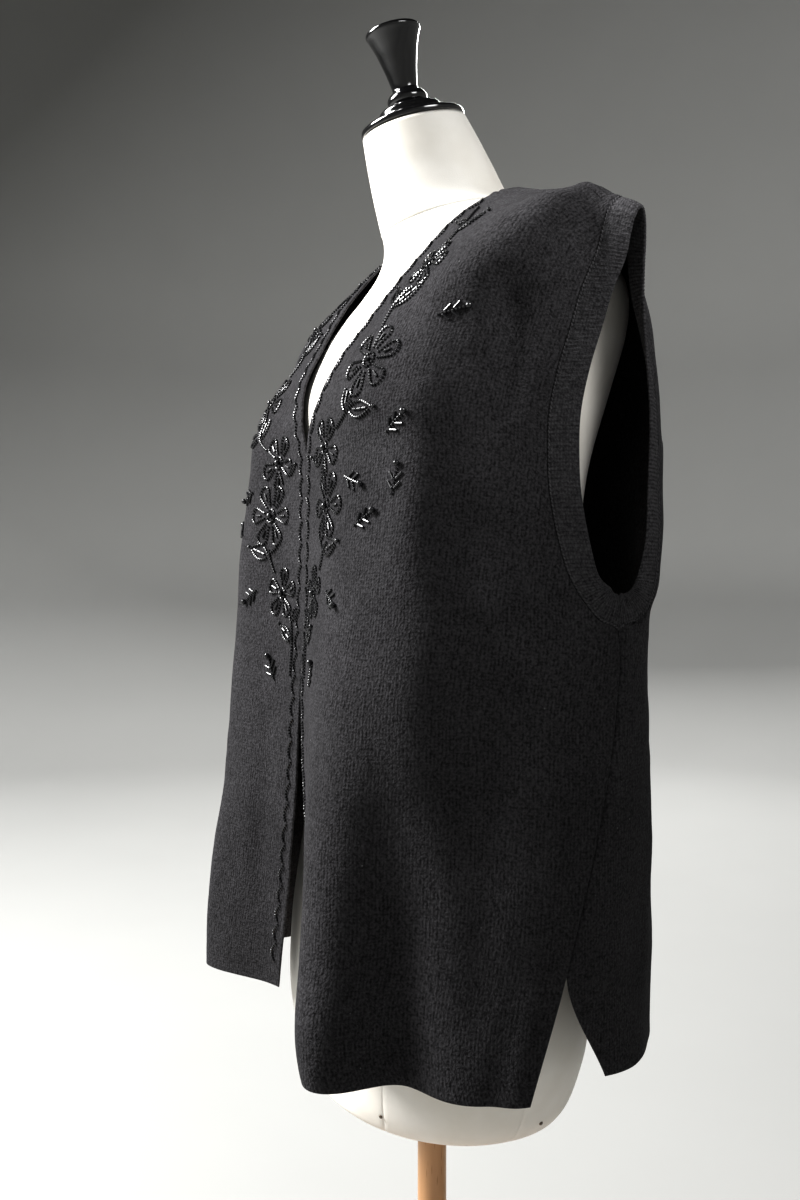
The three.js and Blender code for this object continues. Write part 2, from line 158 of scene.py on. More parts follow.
LEFT_FOLDS = [BUST_FOLD, CREST_FOLD, VALLEY_FOLD]
RIGHT_BUST = [
    (60, 0.19, 52, 0.13),
    (110, 0.2, 53, 0.14),
    (180, 0.22, 53, 0.15),
    (250, 0.24, 46, 0.17),
    (320, 0.26, 42, 0.18),
    (390, 0.28, 38, 0.17),
    (450, 0.3, 33, 0.155),
    (510, 0.32, 26, 0.15),
    (560, 0.34, 18, 0.16),
    (600, 0.38, 14, 0.2),
    (640, 0.44, 20, 0.27),
    (670, 0.5, 20, 0.3),
    (700, 0.5, 8, 0.3),
]
RIGHT_CREST = [(rise, place, 0.7 * amount, spread) for rise, place, amount, spread in CREST_FOLD]
RIGHT_FOLDS = [RIGHT_BUST, RIGHT_CREST, VALLEY_FOLD]

# Shallower folds: rise and place of one end, rise and place of the other, amount, spread
SIDE_FOLDS = [
    (60, 0.84, 300, 0.86, -3, 0.08),
]
BACK_FOLDS = [
    (60, 0.42, 360, 0.5, 10, 0.13),
    (60, 0.15, 300, 0.1, -7, 0.14),
    (380, 0.62, 600, 0.5, -7, 0.14),
]
# Small creases in panel millimetres, u from the middle and v from the hem:
# one end, the other end, amount (troughs are negative), width
FRONT_CREASES = [
    ((180, 622), (212, 524), 9.0, 24),
    ((192, 540), (224, 436), -8.0, 13),
    ((164, 560), (190, 480), 3.0, 13),
    ((120, 560), (140, 480), -2.8, 14),
    ((284, 306), (196, 376), -4.8, 14),
    ((278, 266), (206, 322), 3.4, 13),
    ((290, 250), (268, 90), 2.4, 13),
    ((222, 250), (234, -20), -4.5, 22),
    ((44, 230), (36, 60), -1.8, 12),
    ((92, 150), (98, -10), 1.6, 12),
]
BACK_CREASES = [
    ((150, 560), (176, 430), -3.6, 18),
    ((60, 620), (78, 540), 1.8, 20),
    ((196, 330), (120, 372), -3.0, 16),
    ((206, 286), (140, 300), 2.0, 14),
    ((24, 330), (30, 40), -2.6, 18),
    ((92, 300), (84, 10), 3.0, 17),
    ((140, 240), (150, -10), -3.4, 15),
    ((182, 210), (196, 20), 2.4, 13),
]
NOISE_STEPS = [(46, 0.9), (19, 0.32), (8, 0.12)]  # wavelength and height of the unevenness

# Line inside each armhole that the bands lean towards: rise, x, y, droop of the band
ARMHOLE_CORE = [
    (418, 204, 40, 0),
    (450, 210, 44, 0),
    (500, 214, 46, 0),
    (560, 222, 50, 0),
    (620, 234, 54, 8),
    (700, 262, 58, 45),
]

# Dress form: rise, half width, front y, back y, y of the widest point, squareness, lean
FORM_ROWS = [
    (4, 14, -14, 14, 0, 2, 0),
    (6, 70, -48, 44, 0, 2, 0),
    (18, 118, -84, 76, 0, 2.1, 0),
    (32, 138, -94, 87, 0, 2.2, 0),
    (62, 153, -100, 92, 0, 2.3, 0),
    (95, 162, -102, 94, 0, 2.35, 0),
    (150, 160, -100, 95, 0, 2.3, 0),
    (215, 142, -95, 92, 0, 2.2, 0),
    (285, 124, -90, 86, 0, 2.1, 0),
    (345, 130, -92, 87, 2, 2.1, 0),
    (400, 142, -99, 89, 4, 2.15, 0),
    (455, 150, -102, 93, 6, 2.2, 0),
    (505, 154, -102, 100, 12, 2.2, 0),
    (560, 158, -98, 116, 22, 2.3, 0),
    (605, 162, -77, 128, 30, 2.4, 0),
    (635, 162, -57, 127, 34, 2.4, 0),
    (660, 148, -40, 112, 36, 2.3, 2),
    (684, 116, -30, 92, 31, 2.1, 6),
    (702, 77.5, -33, 73, 20, 2, 10),
    (718, 56, -42, 63, 9, 2, 13),
    (740, 49.5, -49, 51, 1.5, 2, 14),
    (762, 46, -54, 38, -8, 2, 14),
    (782, 42, -58, 25.6, -16.2, 2, 14),
]
BUST = {"x": 74, "rise": 480, "out": 5, "wide": 38, "tall": 52}
NECK_SEAM_ROW = 18.55  # where the neck's cover meets the body's, in rows of the table
HEAD_LEAN = 14  # degrees that the cap and finial lean forward
HEAD_TOP = (0, -16.4, 782)  # middle of the cap's seat, above the form's underside
FORM_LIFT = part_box("form_body")[0].z / MM - FORM_ROWS[0][0]

PAD_RISE = 9  # the shoulder pad lifts the cloth by this much
PAD_ROWS, PAD_PLACE, PAD_SPREAD = 1.8, 0.78, 0.16  # its reach from the seam, place and width
FOLD_CENTRE = (20, 40)  # folds swell away from this point, x and y
EVENING_PASSES = 60
# Turned-in allowances: distance from the seam, spread, height, depth of the seam's groove
SIDE_ALLOWANCE = (4.6, 2.6, 0.9, 0.5)
SHOULDER_ALLOWANCE = (4.2, 2.4, 0.7, 0.6)
ARMHOLE_ALLOWANCE = (3.0, 2.4, 0.6, 0)
GROOVE_SPREAD = 1.2
FRONT_PARTING = 1  # the fronts never come nearer than this to the middle
SIDE_SEAM_WAY = (1, 0, 0.02)  # both panels face this way where they are sewn together
SHOULDER_SEAM_WAY = (0.25, -0.35, 0.9)
FREE_EDGE_ROUND = 1.1  # a plain edge rounds off over this much cloth
EDGE_STEPS = [0, 0.2, 0.55, 1.1, 2.2, 3.6, 5.2, 7.2]  # columns set close to an edge
KNIT_MAP = "knit_mm"  # UV map that holds the knit's own millimetres


# ---- small helpers ----------------------------------------------------------------------
def colour(text):
    """Linear RGBA of an sRGB hex colour such as "1d1c1e"."""
    parts = [int(text[k : k + 2], 16) / 255 for k in (0, 2, 4)]
    linear = [p / 12.92 if p <= 0.04045 else ((p + 0.055) / 1.055) ** 2.4 for p in parts]
    return (*linear, 1.0)


def bell(distance, spread):
    """1 at no distance, falling off smoothly over about the spread."""
    return np.exp(-((distance / spread) ** 2))


def smooth(x):
    """Rises from 0 to 1 with level ends as x does."""
    x = np.clip(x, 0, 1)
    return x * x * (3 - 2 * x)


def unit(vectors):
    """The vectors at length 1."""
    return vectors / np.maximum(np.linalg.norm(vectors, axis=-1, keepdims=True), 1e-12)


def curve_at(keys, values, at):
    """Smooth curve through table rows: each key has a row of values, at may be an array."""
    keys, values = np.asarray(keys, float), np.asarray(values, float)
    last = len(keys) - 1
    before = np.maximum(np.arange(last + 1) - 1, 0)
    after = np.minimum(np.arange(last + 1) + 1, last)
    slope = (values[after] - values[before]) / (keys[after] - keys[before])[:, None]
    at = np.clip(np.asarray(at, float), keys[0], keys[-1])
    i = np.clip(np.searchsorted(keys, at, side="right") - 1, 0, last - 1)
    span = (keys[i + 1] - keys[i])[..., None]
    u = (at[..., None] - keys[i][..., None]) / span
    straight = values[i] + (values[i + 1] - values[i]) * u * u * (3 - 2 * u)
    bends = slope[i] * u * (1 - u) ** 2 + slope[i + 1] * u * u * (u - 1)
    return straight + bends * span


def arc_lengths(points, axis):
    """Distance run along an axis of a grid of points, 0 at its start."""
    steps = np.linalg.norm(np.diff(points, axis=axis), axis=-1)
    run = np.cumsum(steps, axis=axis)
    start = np.zeros_like(np.take(run, [0], axis=axis))
    return np.concatenate([start, run], axis=axis)


def uneven(points, seed):
    """Gentle random height for each point, the same at every run."""
    shift = Vector((seed * 7.3, seed * 3.1, seed * 5.7))
    flat = points.reshape(-1, 3)
    total = np.zeros(len(flat))
    for wavelength, height in NOISE_STEPS:
        places = flat / wavelength
        total += height * np.array([noise.noise(Vector(p) + shift) for p in places])
    return total.reshape(points.shape[:-1])


def mesh_object(name, points, faces, material, uv=None, shade_smooth=True):
    """Mesh object from points in mm."""
    mesh = bpy.data.meshes.new(name)
    mesh.from_pydata((np.asarray(points) * MM).tolist(), [], faces)
    if uv is not None:
        layer = mesh.uv_layers.new(name=KNIT_MAP)
        corners = np.zeros(len(mesh.loops), np.int32)
        mesh.loops.foreach_get("vertex_index", corners)
        layer.uv.foreach_set("vector", np.asarray(uv, np.float32)[corners].ravel())
    mesh.polygons.foreach_set("use_smooth", [shade_smooth] * len(mesh.polygons))
    mesh.validate()
    mesh.update()
    mesh.materials.append(material)
    return linked(name, mesh)


def linked(name, data):
    """Object with this data, in the scene."""
    made = bpy.data.objects.new(name, data)
    bpy.context.scene.collection.objects.link(made)
    return made


def new_object(*parts, **looks):
    """Mesh object that rides on the one body."""
    made = mesh_object(*parts, **looks)
    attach(made, BODY)
    return made


def read(values, run, at):
    """Rows of values, known at the distances run, read at other distances."""
    return np.stack([np.interp(at, run, column) for column in values.T], axis=-1)


def averaged(values, reach, spread, ends):
    """Rows of values, each a weighted mean of its neighbours up to reach away."""
    weights = bell(np.arange(-reach, reach + 1), spread)
    weights = weights / weights.sum()
    padded = np.pad(values, ((reach, reach), (0, 0)), mode=ends)
    return np.stack([np.convolve(column, weights, "valid") for column in padded.T], axis=-1)


def wrapped(index):
    """Vertex numbers [ring, side] with the first side again at the end."""
    return np.hstack([index, index[:, :1]])


def grid_faces(index, close_rows=False):
    """Quads between the neighbours of a grid of vertex numbers."""
    if close_rows:
        index = np.vstack([index, index[:1]])
    quads = [index[:-1, :-1], index[:-1, 1:], index[1:, 1:], index[1:, :-1]]
    return np.stack(quads, axis=-1).reshape(-1, 4)


def fan_faces(index, low, high):
    """Triangles that close the first ring at point low and the last ring at point high."""
    first, last = wrapped(index)[[0, -1]]
    faces = []
    for k in range(index.shape[1]):
        faces.append([low, first[k + 1], first[k]])
        faces.append([high, last[k], last[k + 1]])
    return faces


def turned_rings(profile, sides):
    """Points about +z from (radius, height) pairs, and their numbers [ring, side]."""
    angles = np.arange(sides) * 2 * np.pi / sides
    rings = [[(r * math.cos(a), r * math.sin(a), z) for a in angles] for r, z in profile]
    return np.array(rings).reshape(-1, 3), np.arange(len(rings) * sides).reshape(-1, sides)


# ---- cloth surfaces ---------------------------------------------------------------------
def row_runs(table):
    """Distance from the hem to each row of a table, the mean of its two edges."""
    rows = np.array(table, float)
    first, second = np.diff(rows[:, :3], axis=0), np.diff(rows[:, 3:6], axis=0)
    heights = (np.linalg.norm(first, axis=1) + np.linalg.norm(second, axis=1)) / 2
    return np.concatenate([[0], np.cumsum(heights)])


def row_points(table, stations, places, main_folds, folds):
    """Points of a left panel. stations is one number for each row, places is [row, column]
    from 0 at the first point of a row to 1 at its second."""
    keys = row_runs(table)
    at = np.interp(stations, np.arange(len(table)), keys)
    rows = curve_at(keys, table, at)
    if table is BACK_ROWS:
        # The neckline passes the middle of the back level, as its own mirror image does.
        neck = np.array(table, float)
        neck[NAPE_ROW - 1, :3] = neck[NAPE_ROW + 1, :3] * (-1, 1, 1)
        above = stations > NAPE_ROW
        rows[above, :3] = curve_at(keys, neck, at[above])[:, :3]
        rows[:, 0] = np.where(above, np.maximum(rows[:, 0], 0), 0)
    else:
        rows[:, 0] = np.maximum(rows[:, 0], FRONT_PARTING)
    x0, y0, z0, x1, y1, z1, turn, square = (rows[:, k, None] for k in range(8))
    full = np.radians(turn)
    angle = places * full
    across = (np.sin(angle) / np.sin(full)) ** (2 / square)
    depth = np.maximum((np.cos(angle) - np.cos(full)) / (1 - np.cos(full)), 0)
    points = np.stack(
        [x0 + (x1 - x0) * across, y1 + (y0 - y1) * depth ** (2 / square), z0 + (z1 - z0) * places],
        axis=-1,
    )
    rise = points[..., 2].copy()
    out = np.zeros_like(rise)
    for main_fold in main_folds:
        fold = np.array(main_fold, float)
        place, amount, spread = np.moveaxis(curve_at(fold[:, 0], fold[:, 1:], rise), -1, 0)
        out += amount * bell(places - place, spread)
    for rise0, place0, rise1, place1, amount, spread in folds:
        along = (rise - rise0) / (rise1 - rise0)
        swell = np.where((along < 0) | (along > 1), 0, np.cos(along * np.pi / 2) ** 2)
        out += amount * swell * bell(places - place0 - (place1 - place0) * along, spread)
    away = unit(points[..., :2] - FOLD_CENTRE)
    away[..., 0] = np.where(places == 0, 0, away[..., 0] * smooth(places / 0.04))
    from_top = (len(table) - 1 - stations)[:, None]
    points[..., :2] += away * out[..., None]
    pad = PAD_RISE * bell(from_top, PAD_ROWS) * bell(places - PAD_PLACE, PAD_SPREAD)
    points[..., 2] += pad + FORM_LIFT
    return points


def sewn_back(stations, places):
    """Points of the back, drawn to the front's edge along the side and shoulder seams."""
    points = row_points(BACK_ROWS, stations, places, [], BACK_FOLDS)
    one = np.ones((len(stations), 1))
    seam = np.clip(stations, SLIT_ROW, UNDERARM_ROW)
    own = row_points(BACK_ROWS, seam, one, [], BACK_FOLDS)
    fronts = row_points(FRONT_ROWS, seam, one, LEFT_FOLDS, SIDE_FOLDS)
    sewn = smooth((stations - SLIT_ROW) / 0.25 + 1) * smooth((UNDERARM_ROW - stations) / 0.5 + 1)
    near = smooth((places - 0.9) / 0.1)
    points += (fronts - own) * (sewn[:, None] * near)[..., None]
    top, last = np.array([len(BACK_ROWS) - 1.0]), np.array([len(FRONT_ROWS) - 1.0])
    goal = row_points(FRONT_ROWS, last, places[-1:], LEFT_FOLDS, SIDE_FOLDS)
    own = row_points(BACK_ROWS, top, places[-1:], [], BACK_FOLDS)
    rising = smooth((stations - top[0]) / 0.9 + 1)
    points = points + (goal - own) * rising[:, None, None]
    # The rows narrow fast above the underarm. Evening them out takes the step from the cloth.
    near = bell(stations - UNDERARM_ROW - 0.5, 1.3)[:, None] * smooth((1 - places) / 0.12)
    for _ in range(EVENING_PASSES):
        middle = (points[:-2] + points[2:]) / 2
        points[1:-1] += (middle - points[1:-1]) * near[1:-1, :, None] / 2
    return points


def spaced_stations(table, step):
    """Row numbers of a table about step mm apart, closer beside the hem and the shoulder."""
    run = row_runs(table)
    edge = np.array(EDGE_STEPS)
    inner = np.linspace(edge[-1], run[-1] - edge[-1], round((run[-1] - 2 * edge[-1]) / step))
    wanted = np.concatenate([edge[:-1], inner, (run[-1] - edge[:-1])[::-1]])
    for row in (SLIT_ROW, UNDERARM_ROW) + ((NAPE_ROW,) if table is BACK_ROWS else ()):
        wanted[np.argmin(abs(wanted - run[row]))] = run[row]
    return np.interp(wanted, run, np.arange(len(table)))


def spaced_places(make, stations, step, edge_first):
    """[row, column] places about step mm apart on the widest row, closer beside the edges."""
    fine = np.linspace(0, 1, 241)
    lengths = arc_lengths(make(stations, np.tile(fine, (len(stations), 1))), 1)
    widest = lengths[:, -1].max()
    edge = np.array(EDGE_STEPS)
    start = edge if edge_first else edge[:1]
    count = round((widest - start[-1] - edge[-1]) / step)
    places = []
    for run in lengths:
        inner = np.linspace(start[-1], run[-1] - edge[-1], count)
        wanted = np.concatenate([start[:-1], inner, (run[-1] - edge[:-1])[::-1]])
        places.append(np.interp(wanted, run, fine))
    return np.array(places)


def creased(height, u, v, creases):
    """Adds soft troughs and ridges, each along the line between two panel points."""
    for (u0, v0), (u1, v1), amount, width in creases:
        run = np.array([u1 - u0, v1 - v0], float)
        share = ((u - u0) * run[0] + (v - v0) * run[1]) / (run @ run)
        share = np.clip(share, 0, 1)
        off = np.hypot(u - u0 - share * run[0], v - v0 - share * run[1])
        taper = np.clip(4 * share * (1 - share), 0, 1) ** 0.6
        height = height + amount * taper * bell(off, width)
    return height


class Panel:
    """One side of a knitted panel: its outer points and normals for the wearer's left,
    with u from the middle of the body and v from the hem, in mm of cloth."""

    def __init__(self, table, make, creases, seed, step):
        self.is_back = table is BACK_ROWS
        self.stations = spaced_stations(table, step)
        self.places = spaced_places(make, self.stations, step, not self.is_back)
        points = make(self.stations, self.places)
        opens = self.stations > (NAPE_ROW if self.is_back else V_ROW)
        self.from_first = arc_lengths(points, 1)
        self.u = self.from_first + np.where(opens, points[:, 0, 0], 0)[:, None]
        self.from_side = self.from_first[:, -1:] - self.from_first
        run = np.linalg.norm(np.diff(points, axis=0), axis=-1)
        rise = np.sqrt(np.maximum(run**2 - np.diff(self.u, axis=0) ** 2, (0.2 * run) ** 2))
        self.v = np.concatenate([np.zeros_like(rise[:1]), np.cumsum(rise, axis=0)])
        self.from_top = self.v[-1:] - self.v
        normals = self.face_normals(points)
        height = creased(uneven(points, seed), self.u, self.v, creases)
        calm = smooth(self.from_side / 30) * smooth(self.from_top / 30)
        height = height * calm + self.seam_relief()
        self.points = points + normals * height[..., None]
        if self.is_back:
            self.points[self.stations <= NAPE_ROW, 0, 0] = 0
        self.normals = self.face_normals(self.points)

    def cut(self):
        """Width, length and area of the flat cloth, in mm."""
        across = self.u[1:, 1:] + self.u[:-1, 1:] - self.u[1:, :-1] - self.u[:-1, :-1]
        along = self.v[1:, 1:] + self.v[1:, :-1] - self.v[:-1, 1:] - self.v[:-1, :-1]
        halves = 2 if self.is_back else 1
        return np.ptp(self.u) * halves, np.ptp(self.v), (across * along).sum() / 4 * halves

    def face_normals(self, points):
        """Outward normals, turned to one shared way beside the seams."""
        up = np.gradient(points, axis=0)
        side = np.gradient(points, axis=1)
        normals = unit(np.cross(up, side) if self.is_back else np.cross(side, up))
        if self.is_back:
            closed = self.stations <= NAPE_ROW
            normals[closed, 0, 0] = 0
        seam = (self.stations >= SLIT_ROW) & (self.stations <= UNDERARM_ROW)
        beside = bell(self.from_side, 4) * seam[:, None]
        normals = normals + 3 * np.array(SIDE_SEAM_WAY) * beside[..., None]
        normals = normals + 3 * np.array(SHOULDER_SEAM_WAY) * bell(self.from_top, 4)[..., None]
        return unit(normals)

    def seam_relief(self):
        """Height of the turned-in allowances that press through beside each seam."""

        def pressed(distance, at, spread, height, groove):
            return bell(distance - at, spread) * height - bell(distance, GROOVE_SPREAD) * groove

        sewn = smooth((self.stations - SLIT_ROW) / 0.15) * (self.stations <= UNDERARM_ROW)
        side = pressed(self.from_side, *SIDE_ALLOWANCE) * sewn[:, None]
        armhole = pressed(self.from_side, *ARMHOLE_ALLOWANCE) * (self.stations > UNDERARM_ROW)[:, None]
        return side + pressed(self.from_top, *SHOULDER_ALLOWANCE) + armhole

    def layers(self, thickness):
        """Outer and inner points of the cloth, rounded off towards every cut edge."""
        nearest = np.minimum(np.minimum(self.from_side, self.v), self.from_top)
        opened = (self.stations > NAPE_ROW)[:, None] | (not self.is_back)
        nearest = np.where(opened, np.minimum(nearest, self.from_first), nearest)
        depth = 1 - np.clip(nearest / FREE_EDGE_ROUND, 0, 1)
        half = thickness / 2 * np.maximum(np.sqrt(1 - depth**2), 0.22)
        middle = self.points - self.normals * thickness / 2
        return middle + self.normals * half[..., None], middle - self.normals * half[..., None]


def mirror(points):
    """The same on the wearer's right."""
    return points * (-1, 1, 1)


def wall_faces(outer, inner, rim, flip):
    """Quads of a closed wall: both layers and the rim strip, all facing out."""
    front, back = grid_faces(outer), grid_faces(inner)[:, ::-1]
    edge = np.array([(o0, i0, i1, o1) for (o0, i0), (o1, i1) in zip(rim, rim[1:])])
    faces = np.vstack([front, back, edge])
    return faces[:, ::-1] if flip else faces


def border(outer, inner, first_row):
    """Pairs of outer and inner vertex numbers round a grid, starting at its first column."""
    rows, columns = outer.shape
    path = [(0, j) for j in range(columns)]
    path += [(i, columns - 1) for i in range(1, rows)]
    path += [(rows - 1, j) for j in range(columns - 2, -1, -1)]
    path += [(i, 0) for i in range(rows - 2, first_row - 1, -1)]
    return [(outer[i, j], inner[i, j]) for i, j in path]


def front_object(name, panel, thickness, material, flip):
    """One front as a closed shell. flip makes the wearer's right."""
    outer, inner = panel.layers(thickness)
    count = outer[..., 0].size
    index = np.arange(count).reshape(outer.shape[:2])
    points = np.concatenate([outer.reshape(-1, 3), inner.reshape(-1, 3)])
    faces = wall_faces(index, index + count, border(index, index + count, 0), flip)
    uv = np.stack([panel.u, panel.v], axis=-1).reshape(-1, 2)
    points = mirror(points) if flip else points
    return new_object(name, points, faces.tolist(), material, np.tile(uv, (2, 1)))


def back_object(name, panel, thickness, material):
    """The back as one closed shell of two mirrored halves that share their middle line."""
    outer, inner = panel.layers(thickness)
    rows, columns = outer.shape[:2]
    nape = int(np.argmin(abs(panel.stations - NAPE_ROW)))
    count = rows * columns
    left = np.arange(count).reshape(rows, columns)
    right = left + count
    right[: nape + 1, 0] = left[: nape + 1, 0]
    points, uv, faces = [], [], []
    for layer in (outer, inner):
        points += [layer.reshape(-1, 3), mirror(layer.reshape(-1, 3))]
        for side in (1, -1):
            uv.append(np.stack([panel.u * side, panel.v], axis=-1).reshape(-1, 2))
    for index, flip in ((left, True), (right, False)):
        rim = border(index, index + 2 * count, nape)
        faces += wall_faces(index, index + 2 * count, rim, flip).tolist()
    points, uv = np.concatenate(points), np.concatenate(uv)
    used, renumbered = np.unique(np.array(faces), return_inverse=True)
    faces = renumbered.reshape(-1, 4).tolist()
    return new_object(name, points[used], faces, material, uv[used])


def armhole_ring(front, back):
    """The seam line round the left armhole: its points, outward normals and the direction
    in which the band stands, up the front edge and down the back edge."""
    up = front.stations >= UNDERARM_ROW
    down = (back.stations > UNDERARM_ROW) & (back.stations < len(BACK_ROWS) - 1)
    points = np.concatenate([front.points[up, -1], back.points[down, -1][::-1]])
    normals = np.concatenate([front.normals[up, -1], back.normals[down, -1][::-1]])
    rise = np.clip(points[:, 2] - FORM_LIFT, ARMHOLE_CORE[0][0], ARMHOLE_CORE[-1][0])
    core = np.array(ARMHOLE_CORE, float)
    core = curve_at(core[:, 0], core[:, 1:], rise)
    inward = np.column_stack([core[:, :2], rise + FORM_LIFT - core[:, 2]]) - points
    return points, normals, unit(inward)


class ArmholeLoop:
    """The left armhole's seam line in even steps, with its directions."""

    def __init__(self, front, back, rib):
        points, normals, inward = armhole_ring(front, back)
        run = arc_lengths(np.concatenate([points, points[:1]]), 0)
        self.length, self.rib = run[-1], rib
        self.ribs = round(self.length / rib)
        self.count = self.ribs * RIB_STEPS
        self.run = np.arange(self.count) / self.count * self.length

        def even(values, reach):
            """The values at even steps, averaged over about reach ribs to each side."""
            stepped = read(np.concatenate([values, values[:1]]), run, self.run)
            return averaged(stepped, 2 * reach * RIB_STEPS, reach * RIB_STEPS, "wrap")

        self.points = even(points, 1)
        self.normals, self.inward = unit(even(normals, 5)), unit(even(inward, 3))
        sideways = (self.normals * self.inward).sum(-1, keepdims=True)
        self.face = unit(self.normals - self.inward * sideways)


RIB_STEPS = 4  # columns of the band's mesh to one rib
RIB_COURSE = 2.0  # height of a stitch of the rib
BAND_ROWS = np.array([0, 0.5, 1.4, 3, 5.5, 8.5, 11.5, 14.5, 17, 18.8, 20, 20.7, 21]) / 21
BAND_EDGE_ROUND = 1.3  # the band's free edge rounds off over this much cloth
BAND_TURN = 9  # the band turns from the body's slope into its own over this much cloth
RIB_HEIGHT, BAND_CROWN = 0.5, 0.7
BAND_WAVES = [(0.5, 37, 0), (0.35, 15, 1)]  # height, length over 2 pi, start of the unevenness


def band_object(name, loop, width, thickness, material, flip):
    """Rib band: a closed wall swept round the armhole, each rib a low ridge across it."""
    across = BAND_ROWS * width
    ribs = 0.5 - 0.5 * np.cos(2 * np.pi * loop.run / loop.length * loop.ribs)
    half = np.sqrt(1 - (1 - np.clip((width - across) / BAND_EDGE_ROUND, 0, 1)) ** 2)
    half = thickness / 2 * np.maximum(half * smooth(across / 1.4 + 0.35), 0.2)
    relief = RIB_HEIGHT * smooth(across / 1.6) * smooth((width - across) / 1.6)
    crown = BAND_CROWN * np.sin(np.pi * across / width)
    outer, inner = [], []
    for a, h, r, c in zip(across, half, relief, crown):
        turned = smooth(a / BAND_TURN)
        way = unit(loop.normals * (1 - turned) + loop.face * turned)
        waves = [height * np.sin(loop.run / long + start) for height, long, start in BAND_WAVES]
        wave = smooth(a / 8) * sum(waves)
        middle = loop.points + loop.inward * a + way * (c + wave - thickness / 2)[:, None]
        outer.append(middle + way * (h + r * ribs)[:, None])
        inner.append(middle - way * (h + r * (1 - ribs) * 0.6)[:, None])
    ring = np.stack(outer + inner[::-1], axis=1)
    count, sides = ring.shape[:2]
    faces = grid_faces(wrapped(np.arange(count * sides).reshape(count, sides)), close_rows=True)
    faces = faces if flip else faces[:, ::-1]
    run = np.tile(loop.run[:, None] / loop.length * loop.ribs * loop.rib, (1, sides))
    at = np.tile(np.concatenate([across, across[::-1]]), (count, 1))
    uv = np.stack([run, at], axis=-1).reshape(-1, 2)
    points = ring.reshape(-1, 3)
    return new_object(name, mirror(points) if flip else points, faces.tolist(), material, uv)


# ---- beads and yarn, many small things in one mesh -------------------------------------
# Bead shapes as (place along the hole, radius), in widths of the bead; a bugle's places are
# in lengths. The loop of yarn and the pin's head are in mm.
SEED_PROFILE = [(-0.4, 0.26), (-0.26, 0.47), (0.26, 0.47), (0.4, 0.26)]
BUGLE_PROFILE = [(-0.5, 0.3), (-0.485, 0.45), (-0.45, 0.5), (0.45, 0.5), (0.485, 0.45), (0.5, 0.3)]
LOOP_PROFILE = [(-1.5, 0.2), (-0.8, 0.62), (0.2, 0.7), (1.0, 0.52), (1.5, 0.16)]
PIN_PROFILE = [(-1.5, 0.5), (-0.2, 1.5), (0.35, 1.35), (0.7, 0.7)]
SHORT_BUGLE = 0.7  # length of a short bugle over a long one
SEED_PITCH = 1.14  # from seed to seed on a thread, in seed diameters
SEWN_IN = 0.1  # a bead sinks this far into the cloth
LOOP_LEAN = math.radians(24)


def turned_bead(profile, sides):
    """Bead about its own x axis from (x, radius) pairs, as points and faces."""
    points, index = turned_rings([(r, x) for x, r in profile], sides)
    faces = grid_faces(wrapped(index))[:, ::-1].tolist()
    return np.roll(points, 1, axis=1), faces + [index[0].tolist(), index[-1, ::-1].tolist()]


def placed_bead(kind, axes, at, flip):
    """A bead in its place, mirrored for the wearer's right."""
    if flip:
        axes, at = mirror(axes), mirror(at)
        axes[1] *= -1
    return kind, axes, at


def ball_profile(radius, squash, steps):
    """Round bead, open at its hole, that is squash times as long as it is wide."""
    angles = np.linspace(-0.44, 0.44, steps) * np.pi
    return [(radius * squash * math.sin(a), radius * math.cos(a)) for a in angles]


def bead_mesh(name, shapes, placed, material, smooth_shade=True):
    """One mesh from bead shapes and a list of (shape name, 3x3 axes, point)."""
    points, faces, start = [], [], 0
    for kind, axes, at in placed:
        shape_points, shape_faces = shapes[kind]
        points.append(shape_points @ axes + at)
        faces += [[start + k for k in face] for face in shape_faces]
        start += len(shape_points)
    return new_object(name, np.concatenate(points), faces, material, shade_smooth=smooth_shade)


class Surface:
    """Finds the cloth's outer point and normal under panel millimetres (u, v)."""

    def __init__(self, panel):
        outer = panel.points.reshape(-1, 3)
        flat = np.stack([panel.u, panel.v, np.zeros_like(panel.u)], axis=-1).reshape(-1, 3)
        quads = grid_faces(np.arange(len(flat)).reshape(panel.u.shape))
        self.triangles = np.concatenate([quads[:, [0, 1, 2]], quads[:, [0, 2, 3]]])
        self.flat = [Vector(p) for p in flat]
        self.outer = [Vector(p) for p in outer]
        self.normals = [Vector(n) for n in panel.normals.reshape(-1, 3)]
        self.tree = BVHTree.FromPolygons(self.flat, self.triangles.tolist())

    def point(self, u, v):
        """Outer point and normal over (u, v)."""
        at, _, face, _ = self.tree.find_nearest(Vector((u, v, 0)))
        corners = self.triangles[face]
        here = [self.flat[k] for k in corners]
        point = barycentric_transform(at, *here, *[self.outer[k] for k in corners])
        normal = barycentric_transform(at, *here, *[self.normals[k] for k in corners])
        return point, normal.normalized()

    def axes(self, u, v, heading):
        """Point and axes: x along the heading in the panel, z out of the cloth."""
        point, normal = self.point(u, v)
        ahead, _ = self.point(u + math.cos(heading), v + math.sin(heading))
        x = (ahead - point).normalized()
        x = (x - normal * x.dot(normal)).normalized()
        return point, np.array([x, normal.cross(x), normal])


class EdgePath:
    """The front edge and neckline of a front: panel points by distance from the hem and
    distance into the cloth."""

    def __init__(self, panel):
        line = np.stack([panel.u[:, 0], panel.v[:, 0]], axis=-1)
        run = arc_lengths(line, 0)
        self.length = run[-1]
        self.even = np.linspace(0, self.length, 400)
        self.path = read(line, run, self.even)
        turn = unit(np.gradient(self.path, axis=0))
        self.turn = unit(averaged(turn, 14, 8, "edge"))

    def at(self, along, off):
        """Panel point that far along the edge and into the cloth."""
        place, turn = read(self.path, self.even, along), read(self.turn, self.even, along)
        return np.array([place[0] + turn[1] * off, place[1] - turn[0] * off])


